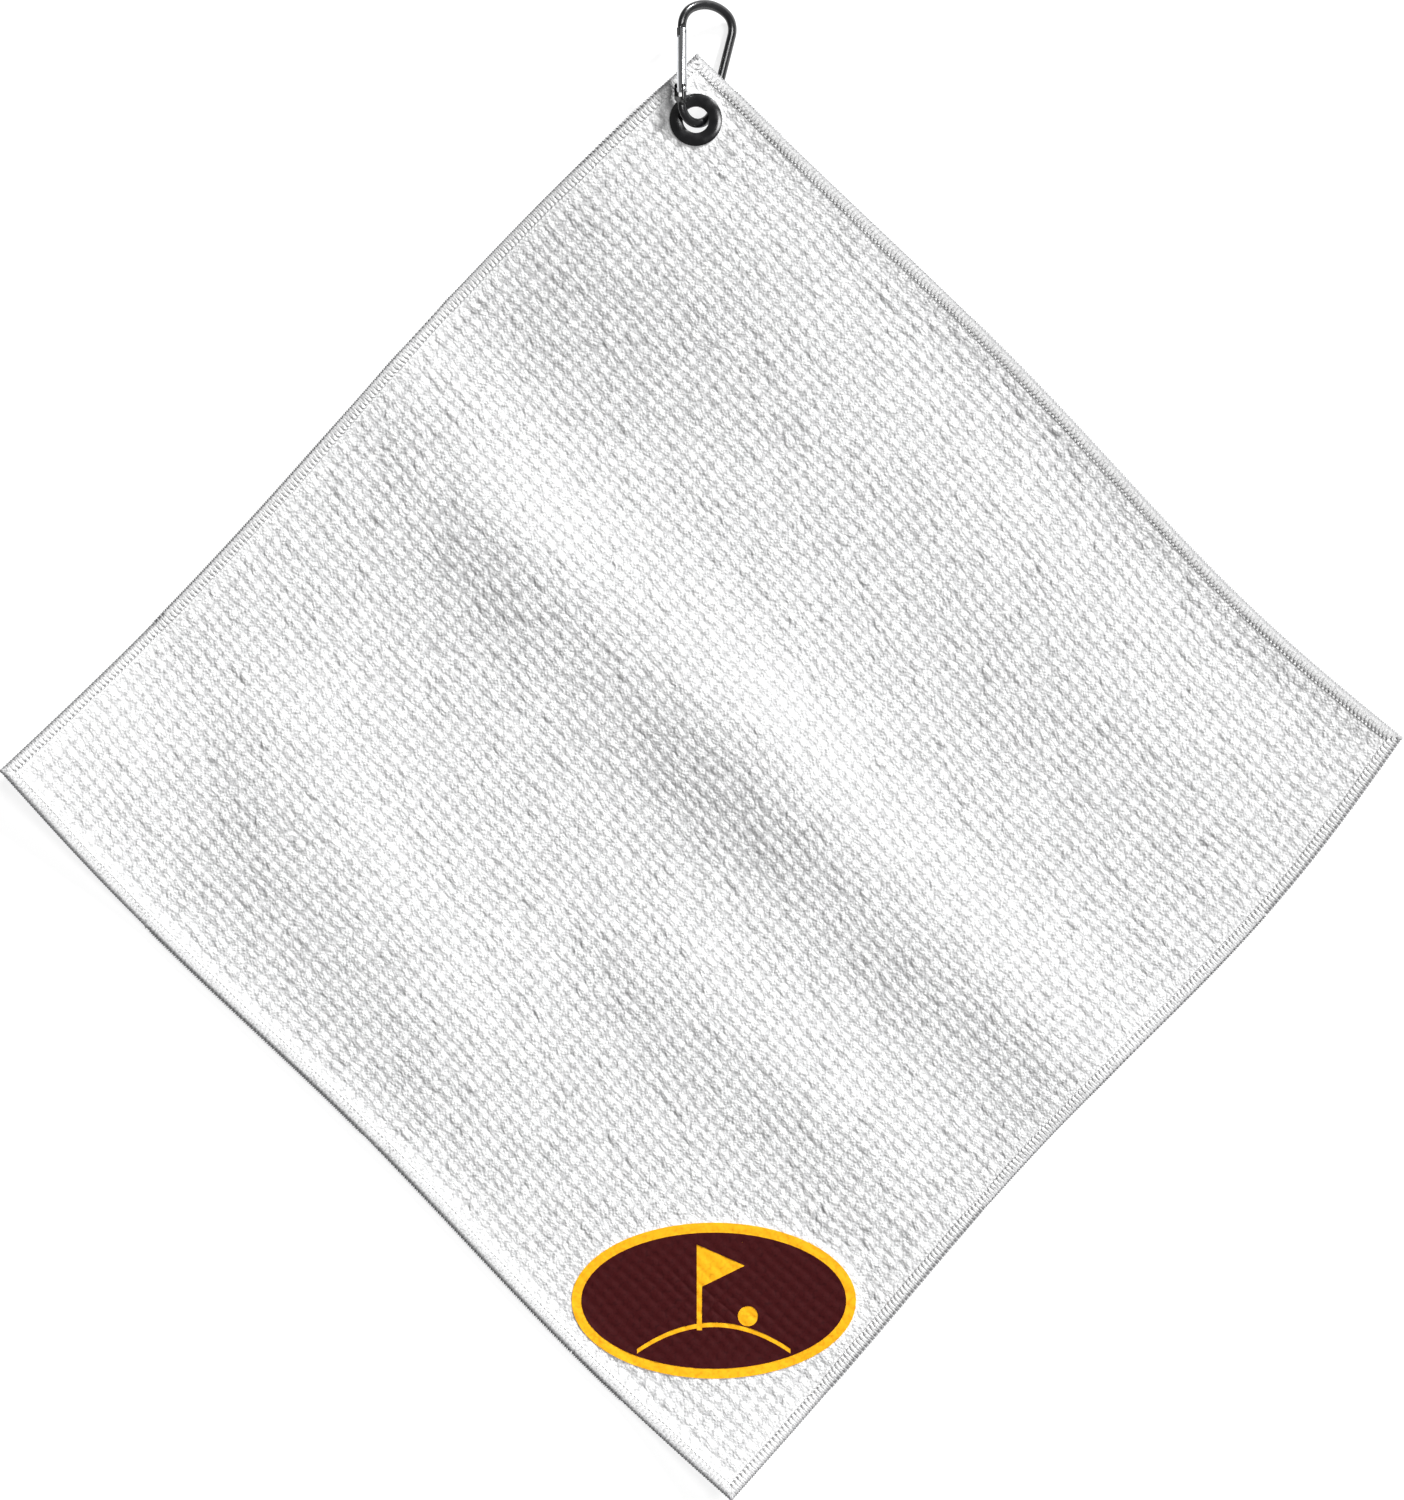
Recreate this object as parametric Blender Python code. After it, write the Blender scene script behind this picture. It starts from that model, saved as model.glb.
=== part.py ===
"""A golf towel laid out flat: a square of waffle cloth with four overlocked edges, an eyelet in one
corner with a small spring-gate carabiner through it, and a two-colour heat-transfer badge.

Metres, +Z up. The towel lies on the XY plane with its eyelet corner towards +Y. The origin is on the
cloth's underside, where the two diagonals cross.
"""

import math

import bmesh
import bpy
import numpy as np
from mathutils import Vector

MM = 0.001
GAP = 0.3 * MM

# The towel as cut and sewn, and how it lies: how far each corner is pulled from a true square.
TOWEL_SIDE = 406.0 * MM
LAY_TURN = math.radians(1.35)
PULL_UP = -4.8 * MM
PULL_LEFT = 0.5 * MM
PULL_DOWN = 14.0 * MM
PULL_RIGHT = -9.1 * MM

# How far each edge bows outwards: the heights of its first three sine waves.
BOW_UPPER_LEFT = (1.2 * MM, 3.0 * MM, 0.0)
BOW_UPPER_RIGHT = (-1.5 * MM, 2.5 * MM, -1.5 * MM)
BOW_LOWER_LEFT = (3.0 * MM, 0.0, 2.0 * MM)
BOW_LOWER_RIGHT = (2.2 * MM, 3.0 * MM, 2.0 * MM)

CLOTH_THICK = 1.8 * MM
CLOTH_PINCHED = 1.1 * MM
FINE_STEP = 3.4 * MM
STEP_GROWTH = 1.30
COARSE_STEP = 30.45 * MM

# Overlocked edge: looper threads over and under the raw edge, needle thread along their inner side.
HEM_WIDTH = 4.2 * MM
HEM_WALL = 0.5 * MM
HEM_BLEND = 4.0 * MM
HEM_ROUND = 0.4 * MM
NEEDLE_WIDTH = 0.6 * MM
NEEDLE_HEIGHT = 0.4 * MM

# The carabiner's oval bar: half its width in the carabiner's plane, and half its thickness.
BAR_WIDE = 1.95 * MM
BAR_THICK = 1.4 * MM

# Eyelet: a grommet pressed through the cloth and rolled over its washer. The bar passes through it.
EYELET_FROM_CORNER = 26.5 * MM
EYELET_ASIDE = -1.2 * MM
BAR_ROOM = 3.35 * MM
HOLE_RADIUS = BAR_WIDE + BAR_ROOM
BARREL_WALL = 0.5 * MM
FLANGE_RADIUS = 10.6 * MM
FLANGE_CROWN = 0.75 * MM
WASHER_THICK = 0.35 * MM
ROLL_WIDTH = 1.9 * MM
ROLL_THICK = 0.3 * MM

# The raised corner: level round the eyelet, then falling away to the surface.
LEVEL_RADIUS = 34.0 * MM
LIFT_FALL = 66.0 * MM
TIP_DROOP = 2.9 * MM

# Carabiner, in its own plane: u across, v along from the eyelet's centre, w out of the plane.
BOW_BOTTOM = -1.3 * MM
CROWN_TOP = 46.6 * MM
CROWN_RADIUS = 18.0 * MM
CORNER_RADIUS = 8.0 * MM
HALF_WIDTH = 12.9 * MM
SIDE_LEAN = math.radians(8.9)
CARABINER_TILT = math.radians(38.0)
CARABINER_LEAN = math.radians(7.0)
FLOOR_CLEARANCE = 0.05 * MM

# Gate, pins, plunger and spring. The hinge pin sits outside the gate's middle line, so that the
# plunger beside it is pressed in as the gate opens.
GATE_RADIUS = 2.1 * MM
HINGE_ALONG = 11.3 * MM
HINGE_OUTSIDE = 0.9 * MM
GATE_BELOW_PIN = 1.4 * MM
GATE_ABOVE_LATCH = 1.6 * MM
END_CLEARANCE = 0.4 * MM
YOKE_BELOW_PIN = 3.1 * MM
YOKE_THICK = 1.5 * MM
YOKE_WALL = 0.6 * MM
YOKE_HALF = 1.3 * MM
YOKE_ABOVE_PIN = 2.4 * MM
YOKE_BEVEL = 0.25 * MM
TONGUE_HALF = 0.65 * MM
HOOK_REACH = 1.5 * MM
SLOT_SIDE_GAP = 0.3 * MM
SLOT_END_GAP = 0.7 * MM
PIN_RADIUS = 0.6 * MM
LATCH_PIN_RADIUS = 0.55 * MM
PIN_CLEARANCE = 0.12 * MM
PIN_HEAD = 0.25 * MM
PIN_END_INSET = 0.35 * MM
BORE_ASIDE = 0.6 * MM
BORE_RADIUS = 0.9 * MM
BORE_DEPTH = 14.0 * MM
PLUNGER_RADIUS = 0.6 * MM
PLUNGER_LENGTH = 4.0 * MM
SPRING_RADIUS = 0.6 * MM
SPRING_WIRE = 0.13 * MM
SPRING_TURNS = 8

# Badge: a base film with a cut-out film on top, both bonded to the cloth above its bottom corner.
BADGE_ABOVE_CORNER = 80.0 * MM
BADGE_ASIDE = -7.1 * MM
BADGE_WIDE = 115.0 * MM
BADGE_HIGH = 63.0 * MM
BADGE_BORDER = 4.0 * MM
POLE_WIDE = 2.2 * MM
GREEN_LINE = 1.9 * MM
FILM_THICK = 0.3 * MM

WHITE = (0.86, 0.87, 0.89)
BLACK = (0.012, 0.012, 0.014)
STEEL = (0.55, 0.56, 0.58)
GOLD = (1.0, 0.48, 0.012)
MAROON = (0.052, 0.006, 0.007)


def clear_scene():
    for thing in list(bpy.data.objects):
        bpy.data.objects.remove(thing, do_unlink=True)


def material(name, colour, roughness, metallic=0.0):
    made = bpy.data.materials.new(name)
    made.use_nodes = True
    shader = made.node_tree.nodes["Principled BSDF"]
    shader.inputs["Base Color"].default_value = (*colour, 1.0)
    shader.inputs["Roughness"].default_value = roughness
    shader.inputs["Metallic"].default_value = metallic
    made.diffuse_color = (*colour, 1.0)
    return made


def make_object(name, points, faces, finish, parent=None):
    """One closed mesh from its points and faces, its faces turned outwards."""
    mesh = bpy.data.meshes.new(name)
    mesh.from_pydata([tuple(p) for p in points], [], [tuple(f) for f in faces])
    shape = bmesh.new()
    shape.from_mesh(mesh)
    bmesh.ops.recalc_face_normals(shape, faces=shape.faces)
    shape.to_mesh(mesh)
    shape.free()
    mesh.shade_smooth()
    mesh.set_sharp_from_angle(angle=math.radians(35.0))
    if finish is not None:
        mesh.materials.append(finish)
    made = bpy.data.objects.new(name, mesh)
    made.parent = parent
    bpy.context.scene.collection.objects.link(made)
    return made


def frame_empty(name, location, rotation, parent=None):
    empty = bpy.data.objects.new(name, None)
    empty.empty_display_size = 5.0 * MM
    empty.location = location
    empty.rotation_euler = rotation
    empty.parent = parent
    bpy.context.scene.collection.objects.link(empty)
    return empty


def cut(target, cutter, operation="DIFFERENCE"):
    """Take the cutter's shape out of the target, or add it, and keep the cutter as a guide."""
    cutter.hide_render = True
    cutter.display_type = "WIRE"
    step = target.modifiers.new("cut " + cutter.name, "BOOLEAN")
    step.operation = operation
    step.solver = "EXACT"
    step.object = cutter


def swept_faces(stations, sides, closed=False):
    """Quads between rings of points that follow each other, with flat ends unless it is closed."""
    faces = []
    rings = stations if closed else stations - 1
    for i in range(rings):
        here = i * sides
        after = ((i + 1) % stations) * sides
        for j in range(sides):
            k = (j + 1) % sides
            faces.append((here + j, here + k, after + k, after + j))
    if not closed:
        faces.append(tuple(range(sides))[::-1])
        faces.append(tuple(range((stations - 1) * sides, stations * sides)))
    return faces


def box(name, low, high, parent=None, finish=None):
    xs, ys, zs = zip(low, high)
    base = ((xs[0], ys[0]), (xs[1], ys[0]), (xs[1], ys[1]), (xs[0], ys[1]))
    points = [(x, y, z) for z in zs for x, y in base]
    return make_object(name, points, swept_faces(2, 4), finish, parent)


def rod(name, centre, radius, low, high, axis, sides=20, parent=None, finish=None):
    """A round rod along axis 1 (y) or axis 2 (z), through centre in the plane across that axis."""
    points = []
    for level in (low, high):
        for k in range(sides):
            turn = 2.0 * math.pi * (k + 0.5) / sides
            across = radius * math.cos(turn)
            other = radius * math.sin(turn)
            if axis == 2:
                points.append((centre[0] + across, centre[1] + other, level))
            else:
                points.append((centre[0] + across, level, centre[1] + other))
    return make_object(name, points, swept_faces(2, sides), finish, parent)


def turned_ring(name, profile, location, finish, sides=32):
    """A closed profile of (radius, height) points turned once round the vertical through location."""
    points = []
    for k in range(sides):
        turn = 2.0 * math.pi * k / sides
        for radius, height in profile:
            points.append((radius * math.cos(turn), radius * math.sin(turn), height))
    made = make_object(name, points, swept_faces(sides, len(profile), closed=True), finish)
    made.location = location
    return made


# ---- where the towel lies

def towel_axes(along_right, along_up):
    """A place given along the towel's own two diagonals, turned to how the towel lies."""
    c = math.cos(LAY_TURN)
    s = math.sin(LAY_TURN)
    return np.array([c * along_right - s * along_up, s * along_right + c * along_up])


HALF_DIAGONAL = TOWEL_SIDE / math.sqrt(2.0)
CORNER_UP = towel_axes(0.0, HALF_DIAGONAL + PULL_UP)
CORNER_LEFT = towel_axes(-HALF_DIAGONAL - PULL_LEFT, 0.0)
CORNER_DOWN = towel_axes(0.0, -HALF_DIAGONAL - PULL_DOWN)
CORNER_RIGHT = towel_axes(HALF_DIAGONAL + PULL_RIGHT, 0.0)
EYELET = towel_axes(EYELET_ASIDE, HALF_DIAGONAL + PULL_UP - EYELET_FROM_CORNER)
BADGE_AT = CORNER_DOWN + np.array([BADGE_ASIDE, BADGE_ABOVE_CORNER])

BAR_DROP = math.hypot(BAR_WIDE * math.sin(CARABINER_TILT), BAR_THICK * math.cos(CARABINER_TILT))
EYELET_HEIGHT = HALF_WIDTH * math.sin(CARABINER_TILT) + BAR_DROP + FLOOR_CLEARANCE


def edge(start, end, bow, t):
    """A point at t (0 to 1) along one edge: the straight line plus three sine waves outwards."""
    run = end - start
    out = np.array([run[1], -run[0]]) / np.linalg.norm(run)
    if np.dot(out, start + end) < 0.0:
        out = -out
    wave = sum(height * math.sin((k + 1) * math.pi * t) for k, height in enumerate(bow))
    return start + run * t + out * wave


def lay(s, t):
    """The cloth's plan: s runs from the eyelet corner to the left one, t to the right one.

    It is the Coons patch of the four edges, so every edge keeps its own bow.
    """
    along_s = (1 - t) * edge(CORNER_UP, CORNER_LEFT, BOW_UPPER_LEFT, s)
    along_s = along_s + t * edge(CORNER_RIGHT, CORNER_DOWN, BOW_LOWER_RIGHT, s)
    along_t = (1 - s) * edge(CORNER_UP, CORNER_RIGHT, BOW_UPPER_RIGHT, t)
    along_t = along_t + s * edge(CORNER_LEFT, CORNER_DOWN, BOW_LOWER_LEFT, t)
    corners = (1 - s) * (1 - t) * CORNER_UP + s * (1 - t) * CORNER_LEFT
    corners = corners + (1 - s) * t * CORNER_RIGHT + s * t * CORNER_DOWN
    return along_s + along_t - corners


def ease(x):
    x = min(max(x, 0.0), 1.0)
    return x * x * (3.0 - 2.0 * x)


def middle_height(plan, s, t):
    """Height of the cloth's middle: on the surface, up over the hems, and up at the eyelet corner."""
    from_edge = min(s, t, 1 - s, 1 - t) * TOWEL_SIDE
    over_hem = (GAP + HEM_WALL) * (1.0 - ease((from_edge - HEM_WIDTH) / HEM_BLEND))
    lying = CLOTH_THICK / 2 + over_hem
    away = plan - EYELET
    raised = 1.0 - ease((np.linalg.norm(away) - LEVEL_RADIUS) / LIFT_FALL)
    towards_tip = np.dot(away, towel_axes(0.0, 1.0))
    tip = ease((towards_tip - FLANGE_RADIUS) / (EYELET_FROM_CORNER - FLANGE_RADIUS))
    return lying + (EYELET_HEIGHT - lying) * raised - TIP_DROOP * tip


def half_thickness(plan):
    """Half the cloth's thickness, less where the eyelet pinches it."""
    outside = ease((np.linalg.norm(plan - EYELET) - FLANGE_RADIUS - GAP) / FINE_STEP)
    return (CLOTH_PINCHED + (CLOTH_THICK - CLOTH_PINCHED) * outside) / 2


def stations():
    """Places along one side: fine near the eyelet corner, then growing, with the far hem's own."""
    places = [HEM_WALL + GAP]
    step = FINE_STEP
    reach = TOWEL_SIDE - HEM_WIDTH - HEM_BLEND
    while places[-1] + step < reach - step / 2:
        places.append(places[-1] + step)
        if places[-1] > LEVEL_RADIUS:
            step = min(step * STEP_GROWTH, COARSE_STEP)
    places.append(reach)
    places.append(TOWEL_SIDE - HEM_WIDTH)
    places.append(TOWEL_SIDE - HEM_WALL - GAP)
    return [place / TOWEL_SIDE for place in places]


def build_cloth(finish):
    lines = stations()
    count = len(lines)
    points = []
    for side in (1.0, -1.0):
        for s in lines:
            for t in lines:
                plan = lay(s, t)
                z = middle_height(plan, s, t) + side * half_thickness(plan)
                points.append((plan[0], plan[1], z))
    faces = []
    under = count * count
    for i in range(count - 1):
        for j in range(count - 1):
            a = i * count + j
            faces.append((a, a + count, a + count + 1, a + 1))
            faces.append((under + a, under + a + 1, under + a + count + 1, under + a + count))
    last = count * (count - 1)
    for i in range(count - 1):
        rims = ((i, i + 1), (last + i + 1, last + i), ((i + 1) * count, i * count),
                (i * count + count - 1, (i + 1) * count + count - 1))
        for a, b in rims:
            faces.append((a, b, under + b, under + a))
    cloth = make_object("towel_cloth", points, faces, finish)
    hole = HOLE_RADIUS + BARREL_WALL + GAP
    low = EYELET_HEIGHT - 2 * CLOTH_THICK
    high = EYELET_HEIGHT + 2 * CLOTH_THICK
    cut(cloth, rod("eyelet_hole_guide", EYELET, hole, low, high, 2, sides=32))


def edge_strip(name, place, section, finish):
    """A strip along one edge, from its section of (distance in from the edge, height) points.

    Its ends are mitred where two edges meet, with half the gap on each.
    """
    mitred = 1.6 * HEM_WIDTH / TOWEL_SIDE
    inner = [line for line in stations() if mitred < line < 1.0 - mitred]
    points = []
    for station in [None] + inner + [1.0]:
        for inset, height in section:
            across = inset / TOWEL_SIDE
            mitre = (inset + GAP) / TOWEL_SIDE
            along = mitre if station is None else min(station, 1.0 - mitre)
            s, t = place(along, across)
            plan = lay(s, t)
            points.append((plan[0], plan[1], middle_height(plan, s, t) + height))
    make_object(name, points, swept_faces(len(inner) + 2, len(section)), finish)


def build_hems(thread):
    """Each edge's three threads: upper looper, lower looper and needle thread."""
    half = CLOTH_THICK / 2
    inside = half + GAP
    outside = inside + HEM_WALL
    looper = [(0.0, GAP / 2), (0.0, outside - HEM_ROUND), (HEM_ROUND, outside)]
    looper += [(HEM_WIDTH - HEM_ROUND, outside), (HEM_WIDTH, inside)]
    looper += [(HEM_WALL, inside), (HEM_WALL, GAP / 2)]
    under = [(inset, -height) for inset, height in looper]
    start = HEM_WIDTH + GAP
    stop = start + NEEDLE_WIDTH
    needle = [(start, inside), (start, inside + NEEDLE_HEIGHT), (stop, inside + NEEDLE_HEIGHT), (stop, inside)]
    edges = {
        "upper_left": lambda along, across: (along, across),
        "upper_right": lambda along, across: (across, along),
        "lower_left": lambda along, across: (1 - across, along),
        "lower_right": lambda along, across: (along, 1 - across),
    }
    for side, place in edges.items():
        edge_strip("upper_looper_" + side, place, looper, thread)
        edge_strip("lower_looper_" + side, place, under, thread)
        edge_strip("needle_thread_" + side, place, needle, thread)


def build_eyelet(finish):
    """The grommet's domed flange and barrel, rolled out under the washer."""
    barrel = HOLE_RADIUS + BARREL_WALL
    seat = CLOTH_PINCHED / 2 + GAP
    crown = seat + FLANGE_CROWN
    under_washer = seat + WASHER_THICK + GAP
    span = FLANGE_RADIUS - HOLE_RADIUS
    profile = [(HOLE_RADIUS, -under_washer - ROLL_THICK), (HOLE_RADIUS, seat + 0.4 * FLANGE_CROWN)]
    for k in range(7):
        turn = math.pi * k / 6
        radius = HOLE_RADIUS + span * (0.5 - 0.46 * math.cos(turn))
        profile.append((radius, seat + (crown - seat) * (0.55 + 0.45 * math.sin(turn))))
    profile += [(FLANGE_RADIUS, seat + 0.2 * FLANGE_CROWN), (FLANGE_RADIUS - 0.1 * MM, seat)]
    profile += [(barrel, seat), (barrel, -under_washer), (HOLE_RADIUS + ROLL_WIDTH, -under_washer)]
    profile += [(HOLE_RADIUS + ROLL_WIDTH, -under_washer - 0.6 * ROLL_THICK)]
    profile += [(HOLE_RADIUS + ROLL_WIDTH - 0.2 * MM, -under_washer - ROLL_THICK)]
    centre = (EYELET[0], EYELET[1], EYELET_HEIGHT)
    turned_ring("grommet", profile, centre, finish)
    inner = barrel + GAP
    outer = FLANGE_RADIUS - GAP
    washer = [(inner, -seat), (outer, -seat), (outer, -seat - 0.5 * WASHER_THICK)]
    washer += [(outer - 0.5 * MM, -seat - WASHER_THICK), (inner, -seat - WASHER_THICK)]
    turned_ring("grommet_washer", washer, centre, finish)


# ---- carabiner

def side_normal(mirror):
    return np.array([mirror * math.cos(SIDE_LEAN), -math.sin(SIDE_LEAN)])


CROWN_SWING = math.asin((HALF_WIDTH - CORNER_RADIUS) / (CROWN_RADIUS - CORNER_RADIUS))
CORNER_CENTRE_U = (CROWN_RADIUS - CORNER_RADIUS) * math.sin(CROWN_SWING)
CORNER_CENTRE_V = CROWN_TOP - CROWN_RADIUS + (CROWN_RADIUS - CORNER_RADIUS) * math.cos(CROWN_SWING)
SIDE_TOP = np.array([-CORNER_CENTRE_U, CORNER_CENTRE_V]) + CORNER_RADIUS * side_normal(-1)
SIDE_OFFSET = float(np.dot(side_normal(-1), SIDE_TOP))
BOTTOM_RADIUS = (SIDE_OFFSET + math.sin(SIDE_LEAN) * BOW_BOTTOM) / (1.0 - math.sin(SIDE_LEAN))
BOTTOM_CENTRE = np.array([0.0, BOW_BOTTOM + BOTTOM_RADIUS])
GATE_UP = np.array([-math.sin(SIDE_LEAN), math.cos(SIDE_LEAN)])
GATE_FOOT = SIDE_TOP - GATE_UP * (SIDE_TOP[1] - HINGE_ALONG) / math.cos(SIDE_LEAN)
HINGE = GATE_FOOT + side_normal(-1) * HINGE_OUTSIDE
GATE_TOP = float(np.linalg.norm(SIDE_TOP - GATE_FOOT)) - END_CLEARANCE
LATCH_ALONG = GATE_TOP - GATE_ABOVE_LATCH


def arc(centre, radius, start, stop, steps):
    """Points on an arc, with its angles in degrees from the u axis."""
    turns = np.radians(np.linspace(start, stop, steps))
    return [centre + radius * np.array([math.cos(a), math.sin(a)]) for a in turns]


def bar_path():
    """The bar's middle line: hook, corner, crown, corner, spine, bottom bow, and up into the yoke."""
    lean = math.degrees(SIDE_LEAN)
    swing = math.degrees(CROWN_SWING)
    left = np.array([-CORNER_CENTRE_U, CORNER_CENTRE_V])
    right = np.array([CORNER_CENTRE_U, CORNER_CENTRE_V])
    middle = np.array([0.0, CROWN_TOP - CROWN_RADIUS])
    path = [GATE_FOOT + GATE_UP * (LATCH_ALONG - HOOK_REACH)]
    path += arc(left, CORNER_RADIUS, 180 + lean, 90 + swing, 9)
    path += arc(middle, CROWN_RADIUS, 90 + swing, 90 - swing, 9)[1:-1]
    path += arc(right, CORNER_RADIUS, 90 - swing, -lean, 9)
    path += arc(BOTTOM_CENTRE, BOTTOM_RADIUS, -lean, -180 + lean, 17)
    path.append(GATE_FOOT - GATE_UP * (YOKE_BELOW_PIN + 0.5 * YOKE_THICK))
    return path


def build_bar(finish, parent):
    path = np.array(bar_path())
    runs = np.gradient(path, axis=0)
    runs[0] = path[1] - path[0]
    runs[-1] = path[-1] - path[-2]
    runs /= np.linalg.norm(runs, axis=1)[:, None]
    sides = 12
    points = []
    for place, run in zip(path, runs):
        across = np.array([run[1], -run[0]])
        for k in range(sides):
            turn = 2.0 * math.pi * (k + 0.5) / sides
            spot = place + across * BAR_WIDE * math.cos(turn)
            points.append((spot[0], spot[1], BAR_THICK * math.sin(turn)))
    return make_object("carabiner_body", points, swept_faces(len(path), sides), finish, parent)


def build_yoke(parent):
    """The fork at the bar's end: two rounded cheeks outside the gate, joined below it."""
    inner = GATE_RADIUS + GAP
    outer = inner + YOKE_WALL
    low = -YOKE_BELOW_PIN - YOKE_THICK
    points = []
    for x in (-YOKE_HALF, YOKE_HALF):
        profile = [(-outer + BAR_THICK / 2, low), (outer - BAR_THICK / 2, low), (outer, low + BAR_THICK / 2)]
        profile += [(outer, YOKE_ABOVE_PIN - YOKE_WALL), (inner, YOKE_ABOVE_PIN), (inner, -YOKE_BELOW_PIN)]
        profile += [(-inner, -YOKE_BELOW_PIN), (-inner, YOKE_ABOVE_PIN), (-outer, YOKE_ABOVE_PIN - YOKE_WALL)]
        profile += [(-outer, low + BAR_THICK / 2)]
        points += [(x, y, z) for z, y in profile]
    yoke = make_object("yoke_guide", points, swept_faces(2, 10), None, parent)
    soften = yoke.modifiers.new("soften edges", "BEVEL")
    soften.width = YOKE_BEVEL
    soften.segments = 1
    soften.limit_method = "ANGLE"
    return yoke


def build_carabiner(black, bright):
    tilt = (0.0, CARABINER_TILT, -CARABINER_LEAN)
    plane = frame_empty("carabiner_frame", (EYELET[0], EYELET[1], EYELET_HEIGHT), tilt)
    along = frame_empty("gate_frame", (HINGE[0], HINGE[1], 0.0), (0.0, 0.0, SIDE_LEAN), plane)
    far = 3.0 * GATE_RADIUS
    middle = HINGE_OUTSIDE
    body = build_bar(black, plane)
    cut(body, build_yoke(along), "UNION")
    for side in (-1, 1):
        near, out = sorted((side * TONGUE_HALF, side * far))
        name = "upper" if side > 0 else "lower"
        hook_low = LATCH_ALONG - 2 * HOOK_REACH
        hook_high = GATE_TOP + END_CLEARANCE
        cut(body, box("hook_cheek_guide_" + name, (-far, hook_low, near), (far, hook_high, out), along))
    cut(body, rod("hinge_hole_guide", (0, 0), PIN_RADIUS + PIN_CLEARANCE, -far, far, 2, parent=along))
    notch = LATCH_PIN_RADIUS + GAP
    cut(body, rod("notch_root_guide", (middle, LATCH_ALONG), notch, -far, far, 2, parent=along))
    notch_low = (middle, LATCH_ALONG - notch * math.cos(math.pi / 20), -far)
    notch_high = (far, LATCH_ALONG + notch * math.cos(math.pi / 20), far)
    cut(body, box("notch_mouth_guide", notch_low, notch_high, along))

    centre = (middle, 0.0)
    gate = rod("gate", centre, GATE_RADIUS, -GATE_BELOW_PIN, GATE_TOP, 1, 24, along, bright)
    slot = TONGUE_HALF + SLOT_SIDE_GAP
    latch_slot = LATCH_ALONG - HOOK_REACH - SLOT_END_GAP
    cut(gate, box("hook_slot_guide", (-far, latch_slot, -slot), (far, GATE_TOP + far, slot), along))
    bore = (middle + BORE_ASIDE, 0.0)
    cut(gate, rod("bore_guide", bore, BORE_RADIUS, -far, BORE_DEPTH, 1, parent=along))
    cut(gate, rod("pin_hole_guide", (0, 0), PIN_RADIUS + PIN_CLEARANCE, -far, far, 2, parent=along))
    latch_hole = LATCH_PIN_RADIUS + PIN_CLEARANCE
    cut(gate, rod("latch_hole_guide", (middle, LATCH_ALONG), latch_hole, -far, far, 2, parent=along))

    reach = GATE_RADIUS + GAP + YOKE_WALL + PIN_HEAD
    rod("hinge_pin", (0, 0), PIN_RADIUS, -reach, reach, 2, parent=along, finish=bright)
    reach = GATE_RADIUS - PIN_END_INSET
    rod("latch_pin", (middle, LATCH_ALONG), LATCH_PIN_RADIUS, -reach, reach, 2, parent=along, finish=bright)
    tip = GAP - YOKE_BELOW_PIN
    head = tip + PLUNGER_LENGTH
    rod("gate_plunger", bore, PLUNGER_RADIUS, tip, head, 1, sides=12, parent=along, finish=bright)
    build_spring(head + GAP + SPRING_WIRE, BORE_DEPTH - GAP - SPRING_WIRE, bore[0], bright, along)


def build_spring(low, high, across, finish, parent):
    """A round wire coil along the gate's bore."""
    sides = 6
    per_turn = 12
    count = SPRING_TURNS * per_turn + 1
    points = []
    for i in range(count):
        turn = 2.0 * math.pi * i / per_turn
        out = Vector((math.cos(turn), 0.0, math.sin(turn)))
        middle = out * SPRING_RADIUS + Vector((across, low + (high - low) * i / (count - 1), 0.0))
        for k in range(sides):
            round_wire = 2.0 * math.pi * k / sides
            points.append(middle + SPRING_WIRE * (out * math.cos(round_wire)
                                                  + Vector((0.0, math.sin(round_wire), 0.0))))
    make_object("gate_spring", points, swept_faces(count, sides), finish, parent)


# ---- badge

def flat_shape(name, outline, low, high, finish=None):
    points = [(x, y, z) for z in (low, high) for x, y in outline]
    return make_object(name, points, swept_faces(2, len(outline)), finish)


def oval(wide, high, count=56, centre=(0.0, 0.0)):
    turns = [2.0 * math.pi * k / count for k in range(count)]
    return [(centre[0] + wide / 2 * math.cos(a), centre[1] + high / 2 * math.sin(a)) for a in turns]


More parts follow.
